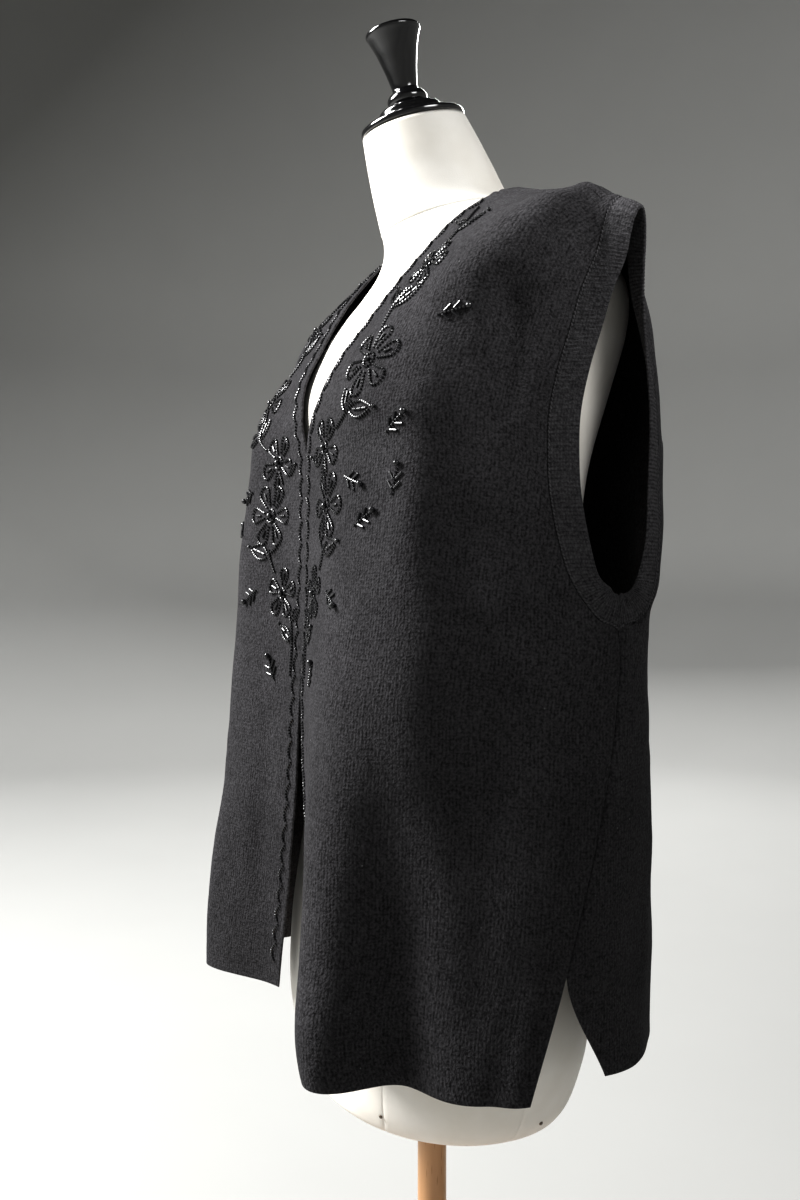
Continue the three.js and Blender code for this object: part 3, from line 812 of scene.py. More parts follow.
def strung(points, spacing):
    """Seed beads on a thread along a line of panel points: kind, u, v and heading."""
    points = np.asarray(points, float)
    run = arc_lengths(points, 0)
    count = max(int(run[-1] // spacing), 1)
    at = (np.arange(count) + 0.5) * run[-1] / count
    line, ahead, back = (read(points, run, at + step) for step in (0, 0.5, -0.5))
    headings = np.arctan2(*(ahead - back).T[::-1])
    return [("seed", u, v, h) for (u, v), h in zip(line, headings)]


def ways(heading):
    """Directions along and across a heading, or a row of headings."""
    ahead = np.stack([np.cos(heading), np.sin(heading)], axis=-1)
    return ahead, ahead[..., ::-1] * (-1, 1)


# ---- the beadwork's layout --------------------------------------------------------------
# Flowers: distance along the edge from the hem, distance into the cloth, reach, petals,
# first petal's heading in degrees
FLOWERS = [
    (322, 38, 20, 5, 20),
    (384, 62, 26, 6, 0),
    (452, 50, 23, 5, 50),
    (520, 72, 27, 6, 15),
    (592, 56, 20, 5, 70),
]
# Leaves on the vine: distance along, side of the vine, length
LEAVES = [
    (284, 1, 20),
    (300, -1, 12),
    (350, 1, 26),
    (352, -1, 20),
    (416, 1, 30),
    (420, -1, 18),
    (486, 1, 26),
    (484, -1, 24),
    (554, 1, 28),
    (558, -1, 22),
    (620, 1, 22),
    (632, -1, 12),
]
# Loose sprigs on the outer side: distance along, distance in, heading in degrees
SPRIGS = [
    (318, 84, -30),
    (372, 116, 25),
    (436, 104, -20),
    (492, 126, 35),
    (556, 118, 5),
    (430, 148, 80),
    (262, 44, 60),
]
# Line of the vine: distance along, distance in
VINE = [
    (258, 16),
    (298, 20),
    (322, 38),
    (352, 60),
    (384, 62),
    (418, 44),
    (452, 50),
    (486, 74),
    (520, 72),
    (556, 50),
    (592, 56),
    (626, 46),
    (654, 24),
]
# The garland: where it starts, what it leaves free at the shoulder, length and depth of a
# scallop, distance from the edge
GARLAND_FIRST, GARLAND_FREE, GARLAND_SCALLOP, GARLAND_DEPTH, GARLAND_OFF = 22, 8, 17, 5.0, 7.5
FLOWER_EYE, PETAL_ROOT, PETAL_FILL = 0.2, 1.6, 0.84  # eye in reaches, root in eyes, fill of a turn
PETAL_BUGLES = [(-0.42, 0.44), (0, 0.5), (0.42, 0.44)]  # turn in half petals, share of its length
LEAF_TURN, LEAF_BOW = math.radians(52), 0.26  # from the vine, and its half width in lengths
# A sprig, in mm along its stem: seeds, bugles with their side, berries with their distance
SPRIG_SEEDS = np.arange(-9, 8, 2.3)
SPRIG_BUGLES = [(-6, 1), (-6, -1), (0, 1), (0, -1)]
SPRIG_BERRIES = [(10.5, 0), (6.5, 4.2), (6.5, -4.2)]


def garland(edge, spacing):
    """Scalloped line of seed beads along the whole front edge and neckline."""
    placed = []
    t = np.linspace(0, 1, 12)
    for k in range(int((edge.length - GARLAND_FIRST - GARLAND_FREE) // GARLAND_SCALLOP)):
        start = GARLAND_FIRST + k * GARLAND_SCALLOP
        offs = GARLAND_OFF + GARLAND_DEPTH * np.sin(math.pi * t)
        line = [edge.at(start + GARLAND_SCALLOP * s, off) for s, off in zip(t, offs)]
        placed += strung(line, spacing)
        placed.append(("small", *edge.at(start, GARLAND_OFF - 0.6), 0.0))
    return placed


def flower(edge, along, off, reach, petals, first, spacing):
    """Open flower: petals outlined in seeds with bugles inside, round beads in the eye."""
    middle = edge.at(along, off)
    placed = [("round", *middle, 0.0)]
    eye = FLOWER_EYE * reach
    root, span = PETAL_ROOT * eye, reach - PETAL_ROOT * eye
    count = int(2 * math.pi * eye // spacing)
    for k in range(count):
        a = 2 * math.pi * k / count
        placed.append(("seed", *(middle + eye * ways(a)[0]), a + math.pi / 2))
    half = math.pi / petals * PETAL_FILL
    t = np.linspace(0, 1, 26)
    radius = (root + span * np.sin(np.pi * t) ** 0.62)[:, None]
    swing = half * np.cos(np.pi * t) * (0.55 + 0.45 * np.sin(np.pi * t))
    for k in range(petals):
        heading = math.radians(first) + 2 * math.pi * k / petals
        placed += strung(middle + radius * ways(heading + swing)[0], spacing)
        for turn, share in PETAL_BUGLES:
            a = heading + turn * half
            placed.append(("bugle", *(middle + (root + span * share) * ways(a)[0]), a))
    return placed


def vine_line(edge):
    """Distances along the edge and the vine's panel points there."""
    rows = np.array(VINE, float)
    along = np.linspace(rows[0, 0], rows[-1, 0], 240)
    off = curve_at(rows[:, 0], rows[:, 1:], along)[:, 0]
    return along, np.array([edge.at(a, o) for a, o in zip(along, off)])


def leaf(along_line, line, along, side, length, spacing):
    """Leaf on the vine: two curved seed lines with slanting bugles between them."""
    k = int(np.argmin(abs(along_line - along)))
    run = line[min(k + 2, len(line) - 1)] - line[max(k - 2, 0)]
    heading = math.atan2(run[1], run[0]) - side * LEAF_TURN
    ahead, across = ways(heading)
    root = line[k] + ahead * 2.2
    t = np.linspace(0, 1, 16)
    placed = []
    for way in (1, -1):
        bow = way * LEAF_BOW * length * np.sin(np.pi * t) ** 0.9 * (1 - 0.35 * t)
        placed += strung(root + ahead * (t * length)[:, None] + across * bow[:, None], spacing)
    for share in np.linspace(0.3, 0.72, 3 if length > 18 else 1):
        placed.append(("short", *(root + ahead * length * share), heading))
    placed.append(("small", *(root + ahead * (length + 2.4)), heading))
    return placed


def sprig(edge, along, off, heading):
    """Loose sprig: a short stem of seeds with paired bugles and three berries."""
    at, heading = edge.at(along, off), math.radians(heading)
    ahead, across = ways(heading)
    placed = [("seed", *(at + ahead * d), heading) for d in SPRIG_SEEDS]
    for step, way in SPRIG_BUGLES:
        middle = at + ahead * (step + 2.6) + across * way * 3.6
        placed.append(("bugle", *middle, heading + way * math.radians(48)))
    for step, way in SPRIG_BERRIES:
        placed.append(("round", *(at + ahead * step + across * way), 0.0))
    return placed


def beadwork(edge, spacing):
    """Every bead of a front in sewing order: garland, vine, flowers, leaves, sprigs."""
    eyes = [(*edge.at(along, off), reach) for along, off, reach, _, _ in FLOWERS]

    def outside(beads, share):
        return [b for b in beads if all(math.hypot(b[1] - u, b[2] - v) > r * share for u, v, r in eyes)]

    along, line = vine_line(edge)
    placed = garland(edge, spacing) + outside(strung(line, spacing), 1.06)
    for entry in FLOWERS:
        placed += flower(edge, *entry, spacing)
    for entry in LEAVES:
        placed += outside(leaf(along, line, *entry, spacing), 1.06 * 0.97)
    for entry in SPRIGS:
        placed += sprig(edge, *entry)
    return placed


BEAD_CELL = 8  # beads are looked up by squares this wide, wider than any two can overlap
BEAD_CLEAR = 0.46  # least distance between two beads, in the sum of their widths


def spread_out(placed, sizes):
    """Drops every bead that would overlap one that is already sewn on."""
    kept, cells = [], {}
    for bead in placed:
        kind, u, v, heading = bead
        along, across = sizes[kind]
        reach = (along - across) / 2
        spots = [(u + math.cos(heading) * d, v + math.sin(heading) * d) for d in (-reach, 0, reach)]
        clear = all(
            math.hypot(su - ou, sv - ov) >= BEAD_CLEAR * (across + width)
            for su, sv in spots
            for i in (-1, 0, 1)
            for j in (-1, 0, 1)
            for ou, ov, width in cells.get((int(su // BEAD_CELL) + i, int(sv // BEAD_CELL) + j), ())
        )
        if clear:
            kept.append(bead)
            for su, sv in spots:
                cell = (int(su // BEAD_CELL), int(sv // BEAD_CELL))
                cells.setdefault(cell, []).append((su, sv, across))
    return kept


# ---- dress form -------------------------------------------------------------------------
SEAM_ANGLES = [0, 52, 90, 128, 180, 235, 270, 305]  # degrees round the form
NECK_SEAM_ANGLES = [90]
PIN_ANGLES = [10, 66, 122, 180, 238, 304]
PIN_ROWS = [3.2, 3.5]  # the pins' row of the table, and one above that gives their way up
SEAM_DEPTH, SEAM_SPREAD = 0.55, 0.9
NECK_GROOVE, NECK_RIDGE = 0.7, 0.45
COVER_INSET = 0.5  # the body's cover lies this far inside the neck's
NECK_ROLL, NECK_DROP = 3.4, 3.0  # radius of the rolled rim and how far it starts down


def form_surface(stations, angles, inset):
    """Points of the form, [row, angle], with the bust and the grooves of its seams."""
    rows = curve_at(np.arange(len(FORM_ROWS)), FORM_ROWS, stations)
    rise, half, front, rear, middle, square, lean = (rows[:, k, None] for k in range(7))
    c, s = np.cos(angles)[None], np.sin(angles)[None]
    x = half * np.sign(c) * abs(c) ** (2 / square)
    depth = np.where(s < 0, middle - front, rear - middle)
    y = depth * np.sign(s) * abs(s) ** (2 / square)
    chest = bell(abs(x) - BUST["x"], BUST["wide"]) * bell(rise - BUST["rise"], BUST["tall"])
    chest = np.where(s < 0, chest, 0) * abs(s) ** 0.5 * BUST["out"]
    tilt = np.radians(lean)
    points = np.stack(
        [x, middle + y * np.cos(tilt) - chest, FORM_LIFT + rise + y * np.sin(tilt)], axis=-1
    )
    around = np.roll(points, -1, axis=1) - np.roll(points, 1, axis=1)
    normals = unit(np.cross(around, np.gradient(points, axis=0)))
    groove = np.zeros(points.shape[:2])
    for degrees in SEAM_ANGLES:
        on_neck = degrees in NECK_SEAM_ANGLES
        gap = abs((angles - math.radians(degrees) + np.pi) % (2 * np.pi) - np.pi)
        shown = 1.0 if on_neck else smooth((NECK_SEAM_ROW - stations) / 0.08)[:, None]
        groove += SEAM_DEPTH * bell(gap[None] * np.maximum(half, 20), SEAM_SPREAD) * shown
    neck = bell((stations - NECK_SEAM_ROW)[:, None], 0.035)
    ridge = bell((stations - NECK_SEAM_ROW - 0.1)[:, None], 0.06)
    return points - normals * (groove + NECK_GROOVE * neck - NECK_RIDGE * ridge + inset)[..., None]


def form_object(name, material):
    """The covered form: dense rings, closed at the underside and rolled over at the neck."""
    last = len(FORM_ROWS) - 1
    stations = np.concatenate([np.arange(0, last, 0.13), [last - 0.05]])
    near = NECK_SEAM_ROW + np.linspace(-0.16, 0.24, 21)
    stations = stations[(stations < near[0] - 0.02) | (stations > near[-1] + 0.02)]
    stations = np.unique(np.concatenate([stations, near]))
    close = np.array([-0.013, -0.007, 0, 0.007, 0.013])
    angles = [math.radians(d) + close for d in SEAM_ANGLES]
    angles = np.concatenate([*angles, np.arange(0, 360, 2.5) * math.pi / 180])
    angles = np.unique(np.round(angles % (2 * np.pi), 4))
    keep = np.append(np.diff(angles) > 0.004, True)
    angles = angles[keep]
    covered = smooth((NECK_SEAM_ROW - 0.4 - stations) / 0.6)
    points = form_surface(stations, angles, 0)
    under = form_surface(stations, angles, COVER_INSET)
    points += (under - points) * covered[:, None, None]
    rim = points[-1]
    centre = rim.mean(axis=0)
    lean = math.radians(HEAD_LEAN)
    top = np.array([0, -math.sin(lean), math.cos(lean)])
    rolled = []
    for angle in np.radians([0, 20, 40, 60, 80, 90]):
        pulled = unit(centre - rim) * NECK_ROLL * (1 - math.cos(angle))
        rolled.append(rim + pulled + top * (NECK_ROLL * math.sin(angle) - NECK_DROP))
    points = np.concatenate([points[:-1], rolled])
    count, sides = points.shape[:2]
    index = np.arange(count * sides).reshape(count, sides)
    faces = grid_faces(wrapped(index)).tolist() + fan_faces(index, count * sides, count * sides + 1)
    tips = [points[0].mean(axis=0), points[-1].mean(axis=0)]
    return new_object(name, np.vstack([points.reshape(-1, 3), tips]), faces, material)


def pin_points():
    """Heads of the pins that hold the cover under the form, as placed beads."""
    placed = []
    for degrees in PIN_ANGLES:
        angles = np.radians([degrees, degrees + 1.0])
        patch = form_surface(np.array(PIN_ROWS), angles, 0)
        x, up = unit(patch[0, 1] - patch[0, 0]), unit(patch[1, 0] - patch[0, 0])
        normal = unit(np.cross(x, up))
        placed.append(("pin", np.array([normal, x, np.cross(normal, x)]), patch[0, 0]))
    return placed


# ---- turned pieces ----------------------------------------------------------------------
# Profiles as (radius, height above the cap's seat)
CAP_PROFILE = [
    (0, 0.3), (41.5, 0.3), (42, 1.2), (42, 3.4), (41, 5),
    (27, 9), (25.8, 10), (25, 14), (23.5, 15.5), (0, 15.5),
]
FINIAL_PROFILE = [
    (0, 15.8), (11, 15.8), (14.5, 17.5), (16.2, 20.5), (16.2, 23.5), (14.5, 26.5), (11, 28.5),
    (10, 30.5), (12.5, 44), (16.5, 60), (20.5, 71), (22.3, 74), (22, 76.3), (20.5, 77.5), (0, 77.5),
]


def rounded(profile, reach):
    """The profile with each corner turned into a short curve."""
    points = [np.array(p, float) for p in profile]
    out = [points[0]]
    for a, b, c in zip(points, points[1:], points[2:]):
        back = (a - b) / np.linalg.norm(a - b) * min(reach, np.linalg.norm(a - b) * 0.45)
        ahead = (c - b) / np.linalg.norm(c - b) * min(reach, np.linalg.norm(c - b) * 0.45)
        for t in np.linspace(0, 1, 6):
            out.append(b + back * (1 - t) ** 2 + ahead * t**2)
    return out + [points[-1]]


def turned_object(name, profile, sides, material, matrix=Matrix()):
    """Turned solid about +z from (radius, height) pairs that start and end on the axis."""
    points, index = turned_rings(profile[1:-1], sides)
    base = len(points)
    faces = grid_faces(wrapped(index)).tolist() + fan_faces(index, base, base + 1)
    points = np.vstack([points, [0, 0, profile[0][1]], [0, 0, profile[-1][1]]])
    points = points @ np.array(matrix.to_3x3()).T + np.array(matrix.translation)
    return new_object(name, points, faces, material)


def head_matrix():
    """Place and lean of the cap's seat."""
    x, y, z = HEAD_TOP
    return Matrix.Translation((x, y, z + FORM_LIFT)) @ Matrix.Rotation(math.radians(HEAD_LEAN), 4, "X")


# ---- materials --------------------------------------------------------------------------
def node(tree, kind, inputs=None, output=0, **settings):
    """Adds a node, sets its properties, fills or links its inputs and gives one output."""
    made = tree.nodes.new("ShaderNode" + kind)
    for name, value in settings.items():
        setattr(made, name, value)
    for name, value in (inputs or {}).items():
        if isinstance(value, bpy.types.NodeSocket):
            tree.links.new(value, made.inputs[name])
        else:
            made.inputs[name].default_value = value
    return made.outputs[output]


def new_material(name, **constants):
    """Material with one Principled shader whose sockets hold the given constants, the node
    function for its tree and its place in space."""
    material = bpy.data.materials.new(name)
    material.use_nodes = True
    shader = material.node_tree.nodes["Principled BSDF"]
    for socket, value in constants.items():
        shader.inputs[socket.replace("_", " ")].default_value = value
    add = partial(node, material.node_tree)
    return material, add, add("TexCoord", output="Object")


def surfaced(material, shade, height=None, depth=0, strength=1.0, coats=("Normal",)):
    """Links a colour to the shader and a relief of depth mm to its normals."""
    tree = material.node_tree
    shader = tree.nodes["Principled BSDF"]
    tree.links.new(shade, shader.inputs["Base Color"])
    if height:
        relief = {"Height": height, "Distance": depth * MM, "Strength": strength}
        bump = node(tree, "Bump", relief)
        for coat in coats:
            tree.links.new(bump, shader.inputs[coat])
    return material


def speckle(add, place, scale, detail=2.0, **more):
    """Cloudy noise of this many grains to a metre: 500 makes them 2 mm apart."""
    return add("TexNoise", {"Vector": place, "Scale": scale, "Detail": detail, **more})


def between(add, share, first, second):
    """Colour from the first to the second as the share goes from 0 to 1."""
    return add("Mix", {0: share, 6: first, 7: second}, 2, data_type="RGBA")


def knit_height(add, wale, course, slant):
    """Height of plain knitting: each wale is two slanting legs that lean together, as long
    as the stitch, under streaks of felt that run up the wales. Distances are real
    millimetres along the cloth."""
    place = add("UVMap", uv_map=KNIT_MAP)
    sway = add("TexNoise", {"Vector": place, "Scale": 0.09}, 1)
    sway = add("VectorMath", {0: sway, "Scale": 1.6}, operation="SCALE")
    place = add("VectorMath", {0: place, 1: sway}, operation="ADD")
    counted = add("VectorMath", {0: place, 1: (1 / wale, 1 / course, 1)}, operation="MULTIPLY")
    u, v = (add("SeparateXYZ", {0: counted}, axis) for axis in (0, 1))
    fold = add("Math", {0: u, 1: 0.5}, operation="PINGPONG")
    leg = add("Math", {0: fold, 1: math.pi}, operation="MULTIPLY")
    leg = add("Math", {0: leg}, operation="SINE")
    leaned = add("Math", {0: fold, 1: slant, 2: v}, operation="MULTIPLY_ADD")
    turn = add("Math", {0: leaned, 1: 2 * math.pi}, operation="MULTIPLY")
    wave = add("Math", {0: turn}, operation="COSINE")
    wave = add("Math", {0: wave, 1: 0.1, 2: 0.26}, operation="MULTIPLY_ADD")
    stitch = add("Math", {0: leg, 1: wave}, operation="MULTIPLY")
    drawn = add("Mapping", {"Vector": counted, "Scale": (1.1, 0.3, 1)})
    streak = speckle(add, drawn, 1.0)
    return add("Math", {0: streak, 1: 0.7, 2: stitch}, operation="MULTIPLY_ADD")


def wool_material(name, base, fibre, wale, course, slant, depth, fuzz):
    """Merino wool, knitted fine and lightly felted: matt, with a haze of loose fibres that
    lightens it where it turns away, and stitches that only just show. The real stitches are
    too fine for a render, so wales, courses and ribs are drawn about half as wide again.
    Felted tufts lie 2 mm apart, worn patches 45 mm and specks of lint 22 mm."""
    material, add, place = new_material(
        name,
        Roughness=0.95,
        Specular_IOR_Level=0.1,
        Sheen_Weight=0.08,
        Sheen_Roughness=0.5,
        Sheen_Tint=colour("6b6a6c"),
    )
    stitches = knit_height(add, wale, course, slant)
    felt = speckle(add, place, 520.0, Roughness=0.6)
    felt = add("MapRange", {0: felt, 1: 0.34, 2: 0.66, 3: 0.0, 4: 1.0})
    height = add("Math", {0: felt, 1: fuzz, 2: stitches}, operation="MULTIPLY_ADD")
    # Painted shade: the colour darkens to the base colour in the knit's hollows and turns to the fibres'
    # lighter colour on its raised loops.
    hollow_shade_and_fibre = add("MapRange", {0: height, 1: 0.25, 2: 1.45, 3: 0.0, 4: 1.0})
    worn = add("MapRange", {0: speckle(add, place, 22.0, 3.0), 1: 0.3, 2: 0.7, 3: 0.86, 4: 1.12})
    shade = {0: between(add, hollow_shade_and_fibre, base, fibre), "Scale": worn}
    shade = add("VectorMath", shade, operation="SCALE")
    specks = add("TexVoronoi", {"Vector": place, "Scale": 46.0})
    lint = add("MapRange", {0: specks, 1: 0.030, 2: 0.014, 3: 0.0, 4: 0.5})
    return surfaced(material, between(add, lint, shade, colour("8b8a8c")), height, depth)


def glass_material(name, tint):
    """Jet-black pressed glass: fire-polished, so each bead carries small sharp lights. Its
    flaws are 4 mm long, so one bead differs a little from the next."""
    looks = {"Roughness": 0.3, "IOR": 1.6, "Coat_Weight": 0.15, "Coat_Roughness": 0.15}
    material, add, place = new_material(name, **looks)
    flaws = speckle(add, place, 260.0)
    return surfaced(material, between(add, flaws, tint, colour("1a1a1e")), flaws, 0.25, 0.5)


def cover_material(name, base):
    """Fine cotton jersey glued tight over the form: matt off-white with a close, even knit
    of loops 0.7 mm apart, and faint soiling in patches 70 mm wide."""
    looks = {"Roughness": 0.86, "Specular_IOR_Level": 0.3, "Sheen_Weight": 0.12}
    material, add, place = new_material(name, Sheen_Roughness=0.5, **looks)
    weave = add("TexVoronoi", {"Vector": place, "Scale": 1400.0})
    soiled = speckle(add, place, 14.0, 4.0)
    soiled = add("MapRange", {0: soiled, 1: 0.35, 2: 0.75, 3: 0.0, 4: 1.0})
    return surfaced(material, between(add, soiled, base, colour("dcd7cd")), weave, 0.12, 0.6)


def lacquer_material(name, base):
    """Turned beech under black gloss lacquer: deep and mirror-like, with the faintest
    orange peel, 8 mm across, from the spray."""
    looks = {"Roughness": 0.16, "IOR": 1.5, "Coat_Weight": 1.0, "Coat_Roughness": 0.05}
    material, add, place = new_material(name, **looks)
    peel = speckle(add, place, 120.0)
    shade = between(add, speckle(add, place, 40.0, 5.0), base, colour("141415"))
    return surfaced(material, shade, peel, 0.3, 0.25, ("Normal", "Coat Normal"))


def beech_material(name, base, grain_axis):
    """Steamed beech under satin varnish: even pinkish tan, with the short dark flecks of
    its rays about 3 mm long, drawn along the grain."""
    looks = {"Roughness": 0.46, "IOR": 1.5, "Coat_Weight": 0.35, "Coat_Roughness": 0.25}
    material, add, place = new_material(name, **looks)
    stretch = [1.0 if axis != grain_axis else 0.08 for axis in "XYZ"]
    grain = add("Mapping", {"Vector": place, "Scale": stretch})
    rings = speckle(add, grain, 70.0, 4.0, Distortion=0.4)
    flecks = add("TexVoronoi", {"Vector": grain, "Scale": 620.0})
    flecks = add("MapRange", {0: flecks, 1: 0.10, 2: 0.24, 3: 0.75, 4: 0.0})
    shade = between(add, rings, base, colour("a97c52"))
    return surfaced(material, between(add, flecks, shade, colour("93663f")), rings, 0.15, 0.4)


def steel_material(name, base):
    """Browned steel pins: dull metal with a little bright wear in spots 1 mm wide."""
    material, add, place = new_material(name, Metallic=1.0, Roughness=0.42)
    return surfaced(material, between(add, speckle(add, place, 900.0), base, colour("8d8377")))


def paper_material(name, base):
    """Matt seamless background paper, very slightly clouded."""
    material, add, place = new_material(name, Roughness=0.95, Specular_IOR_Level=0.1)
    darker = [c * 0.95 for c in base[:3]] + [1.0]
    return surfaced(material, between(add, speckle(add, place, 3.0), base, darker))


# ---- settings a user would change ------------------------------------------------------
def length(name, description, default):
    """Setting for a size in metres."""
    return bpy.props.FloatProperty(name=name, description=description, default=default, unit="LENGTH")


def paint(name, description, code):
    """Setting for a colour, given as its sRGB hex value."""
    start = colour(code)
    return bpy.props.FloatVectorProperty(
        name=name, description=description, default=start, size=4, subtype="COLOR"
    )


def power(name, description, default):
    """Setting for a light's power in watts."""
    return bpy.props.FloatProperty(name=name, description=description, default=default, unit="POWER")


class CardiganSettings(bpy.types.PropertyGroup):
    """Sizes and colours of the knitted pieces."""

    thickness: length("Cloth thickness", "Wall of the jersey and the rib", 0.002)
    cell: length("Mesh cell", "Size of one cell of the cloth's mesh", 0.0038)
    wale: length("Wale", "Width of a jersey stitch, drawn coarser than the real 1.6 mm", 0.0025)
    course: length("Course", "Height of a jersey stitch, drawn coarser than the real 1.3 mm", 0.0022)
    band_width: length("Band width", "Armhole band, from seam to free edge", 0.021)
    rib: length("Rib", "Width of one rib, drawn coarser than the real 1.9 mm", 0.0027)
    # The depth colour is painted shade, the colour of the knit's hollows; the fibre colour lies on its
    # raised loops.
    wool: paint("Wool", "Depth colour of the jersey's wool", "121112")
    fibre: paint("Fibre", "Colour of the jersey's loose fibres", "434244")


class BeadSettings(bpy.types.PropertyGroup):
    """Sizes and colour of the beads."""

    seed: length("Seed bead", "Diameter of a seed bead", 0.0021)
    small: length("Small round bead", "Diameter of a small round bead", 0.0032)
    round: length("Round bead", "Diameter of a round bead", 0.0047)
    bugle: length("Bugle length", "Length of a bugle bead", 0.0066)
    bugle_width: length("Bugle width", "Diameter of a bugle bead", 0.0018)
    glass: paint("Glass", "Colour of the jet glass", "060607")


class StandSettings(bpy.types.PropertyGroup):
    """Sizes and colours of the dress form and its stand."""

    base_radius: length("Base radius", "Radius of the round base", BASE_BOX[1].x)
    base_thickness: length("Base thickness", "Thickness of the round base", BASE_BOX[1].z)
    pole_radius: length("Pole radius", "Radius of the pole", POLE_BOX[1].x)
    cover: paint("Cover", "Colour of the form's jersey cover", "efece6")
    lacquer: paint("Lacquer", "Colour of the cap and finial", "08080a")
    beech: paint("Beech", "Colour of the pole and base", "cda77d")


class StageSettings(bpy.types.PropertyGroup):
    """The plain stage, its lights and the camera."""

    paper: paint("Paper", "Colour of the floor and backdrop", "a8a8a6")
    key_power: power("Key light", "Power of the key light", 320.0)
    back_power: power("Back light", "Power of the light behind", 80.0)
    side_power: power("Side light", "Power of the small light at the left shoulder", 0.45)
    sky: bpy.props.FloatProperty(
        name="Room light", description="Strength of the light all round", default=0.04
    )
    contrast: bpy.props.FloatProperty(
        name="Contrast", description="Gamma of the picture, lower is harder", default=0.82
    )
    lens: bpy.props.FloatProperty(
        name="Lens", description="Focal length", default=35.25, unit="CAMERA"
    )


# ---- operators --------------------------------------------------------------------------
def front_maker(folds):
    """The function that gives the points of a front with these long folds."""
    return lambda stations, places: row_points(FRONT_ROWS, stations, places, folds, SIDE_FOLDS)


PANELS = {}


def panels(settings):
    """The three worked-out panels, made once."""
    if not PANELS:
        step = settings.cell / MM
        for seed, side, folds in ((1, "left", LEFT_FOLDS), (2, "right", RIGHT_FOLDS)):
            made = Panel(FRONT_ROWS, front_maker(folds), FRONT_CREASES, seed, step)
            PANELS["front_" + side] = made
        PANELS["back"] = Panel(BACK_ROWS, sewn_back, BACK_CREASES, 3, step)
    return PANELS


def declare_cloth(piece, width, length, area, pieces=()):
    """Rounds the flat area of a knitted piece to square metres and keeps it nowhere. Area in square mm;
    the sizes in mm are not used.
    """
    area = round(area * MM * MM, 5)


def jersey(settings):
    """The wool of the fronts and the back, made when it is first asked for."""
    name, stitch = "felted merino jersey", (settings.wale / MM, settings.course / MM)
    wool = (settings.wool, settings.fibre, *stitch)
    made = bpy.data.materials.get(name)
    return made or wool_material(name, *wool, slant=0.9, depth=0.55, fuzz=0.8)


class CARDIGAN_OT_fronts(bpy.types.Operator):
    """Knit the two fronts"""

    bl_idname = "cardigan.fronts"
    bl_label = "Fronts"

    def execute(self, context):
        settings = context.scene.cardigan
        for name, flip in (("front_left", False), ("front_right", True)):
            panel = panels(settings)[name]
            piece = front_object("knit_" + name, panel, settings.thickness / MM, jersey(settings), flip)
            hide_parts(name)
        return {"FINISHED"}


class CARDIGAN_OT_back(bpy.types.Operator):
    """Knit the back"""

    bl_idname = "cardigan.back"
    bl_label = "Back"

    def execute(self, context):
        settings = context.scene.cardigan
        panel = panels(settings)["back"]
        piece = back_object("knit_back", panel, settings.thickness / MM, jersey(settings))
        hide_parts("back")
        declare_cloth(piece, *panel.cut())
        return {"FINISHED"}


class CARDIGAN_OT_bands(bpy.types.Operator):
    """Knit the ribbed armhole bands and link them to the body"""

    bl_idname = "cardigan.bands"
    bl_label = "Armhole bands"

    def execute(self, context):
        settings = context.scene.cardigan
        width, thickness, pitch = (v / MM for v in (settings.band_width, settings.thickness, settings.rib))
        # In each pair the first colour is painted shade in the hollows of the rib and the yarn, and the
        # second is their fibres' colour on the raised loops.
        wool = (colour("171618"), colour("5a595b"), pitch, RIB_COURSE)
        rib = wool_material("merino rib", *wool, slant=0.3, depth=0.9, fuzz=0.5)
        wool = (colour("232224"), colour("6a696b"), RIB_COURSE, RIB_COURSE)
        yarn = wool_material("linking yarn", *wool, slant=0.3, depth=0.4, fuzz=0.5)
        shapes = {"loop": turned_bead(LOOP_PROFILE, 6)}
        made = panels(settings)
        for side, flip in (("left", False), ("right", True)):
            loop = ArmholeLoop(made["front_" + side], made["back"], pitch)
            name = "armhole_band_" + side
            band = band_object("rib_" + name, loop, width, thickness, rib, flip)
            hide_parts(name)
            placed = []
            for k in range(0, loop.count, RIB_STEPS):
                ahead = unit(loop.points[(k + 2) % loop.count] - loop.points[k - 2])
                normal = loop.normals[k]
                x = ahead * math.cos(LOOP_LEAN) + np.cross(normal, ahead) * math.sin(LOOP_LEAN)
                axes = np.array([x, np.cross(normal, x), normal])
                at = loop.points[k] + normal * 0.4 + loop.inward[k] * 0.5
                placed.append(placed_bead("loop", axes, at, flip))
            chain = bead_mesh("linking_" + side, shapes, placed, yarn)
            declare_cloth(band, width, loop.length, width * loop.length, [chain])
        return {"FINISHED"}


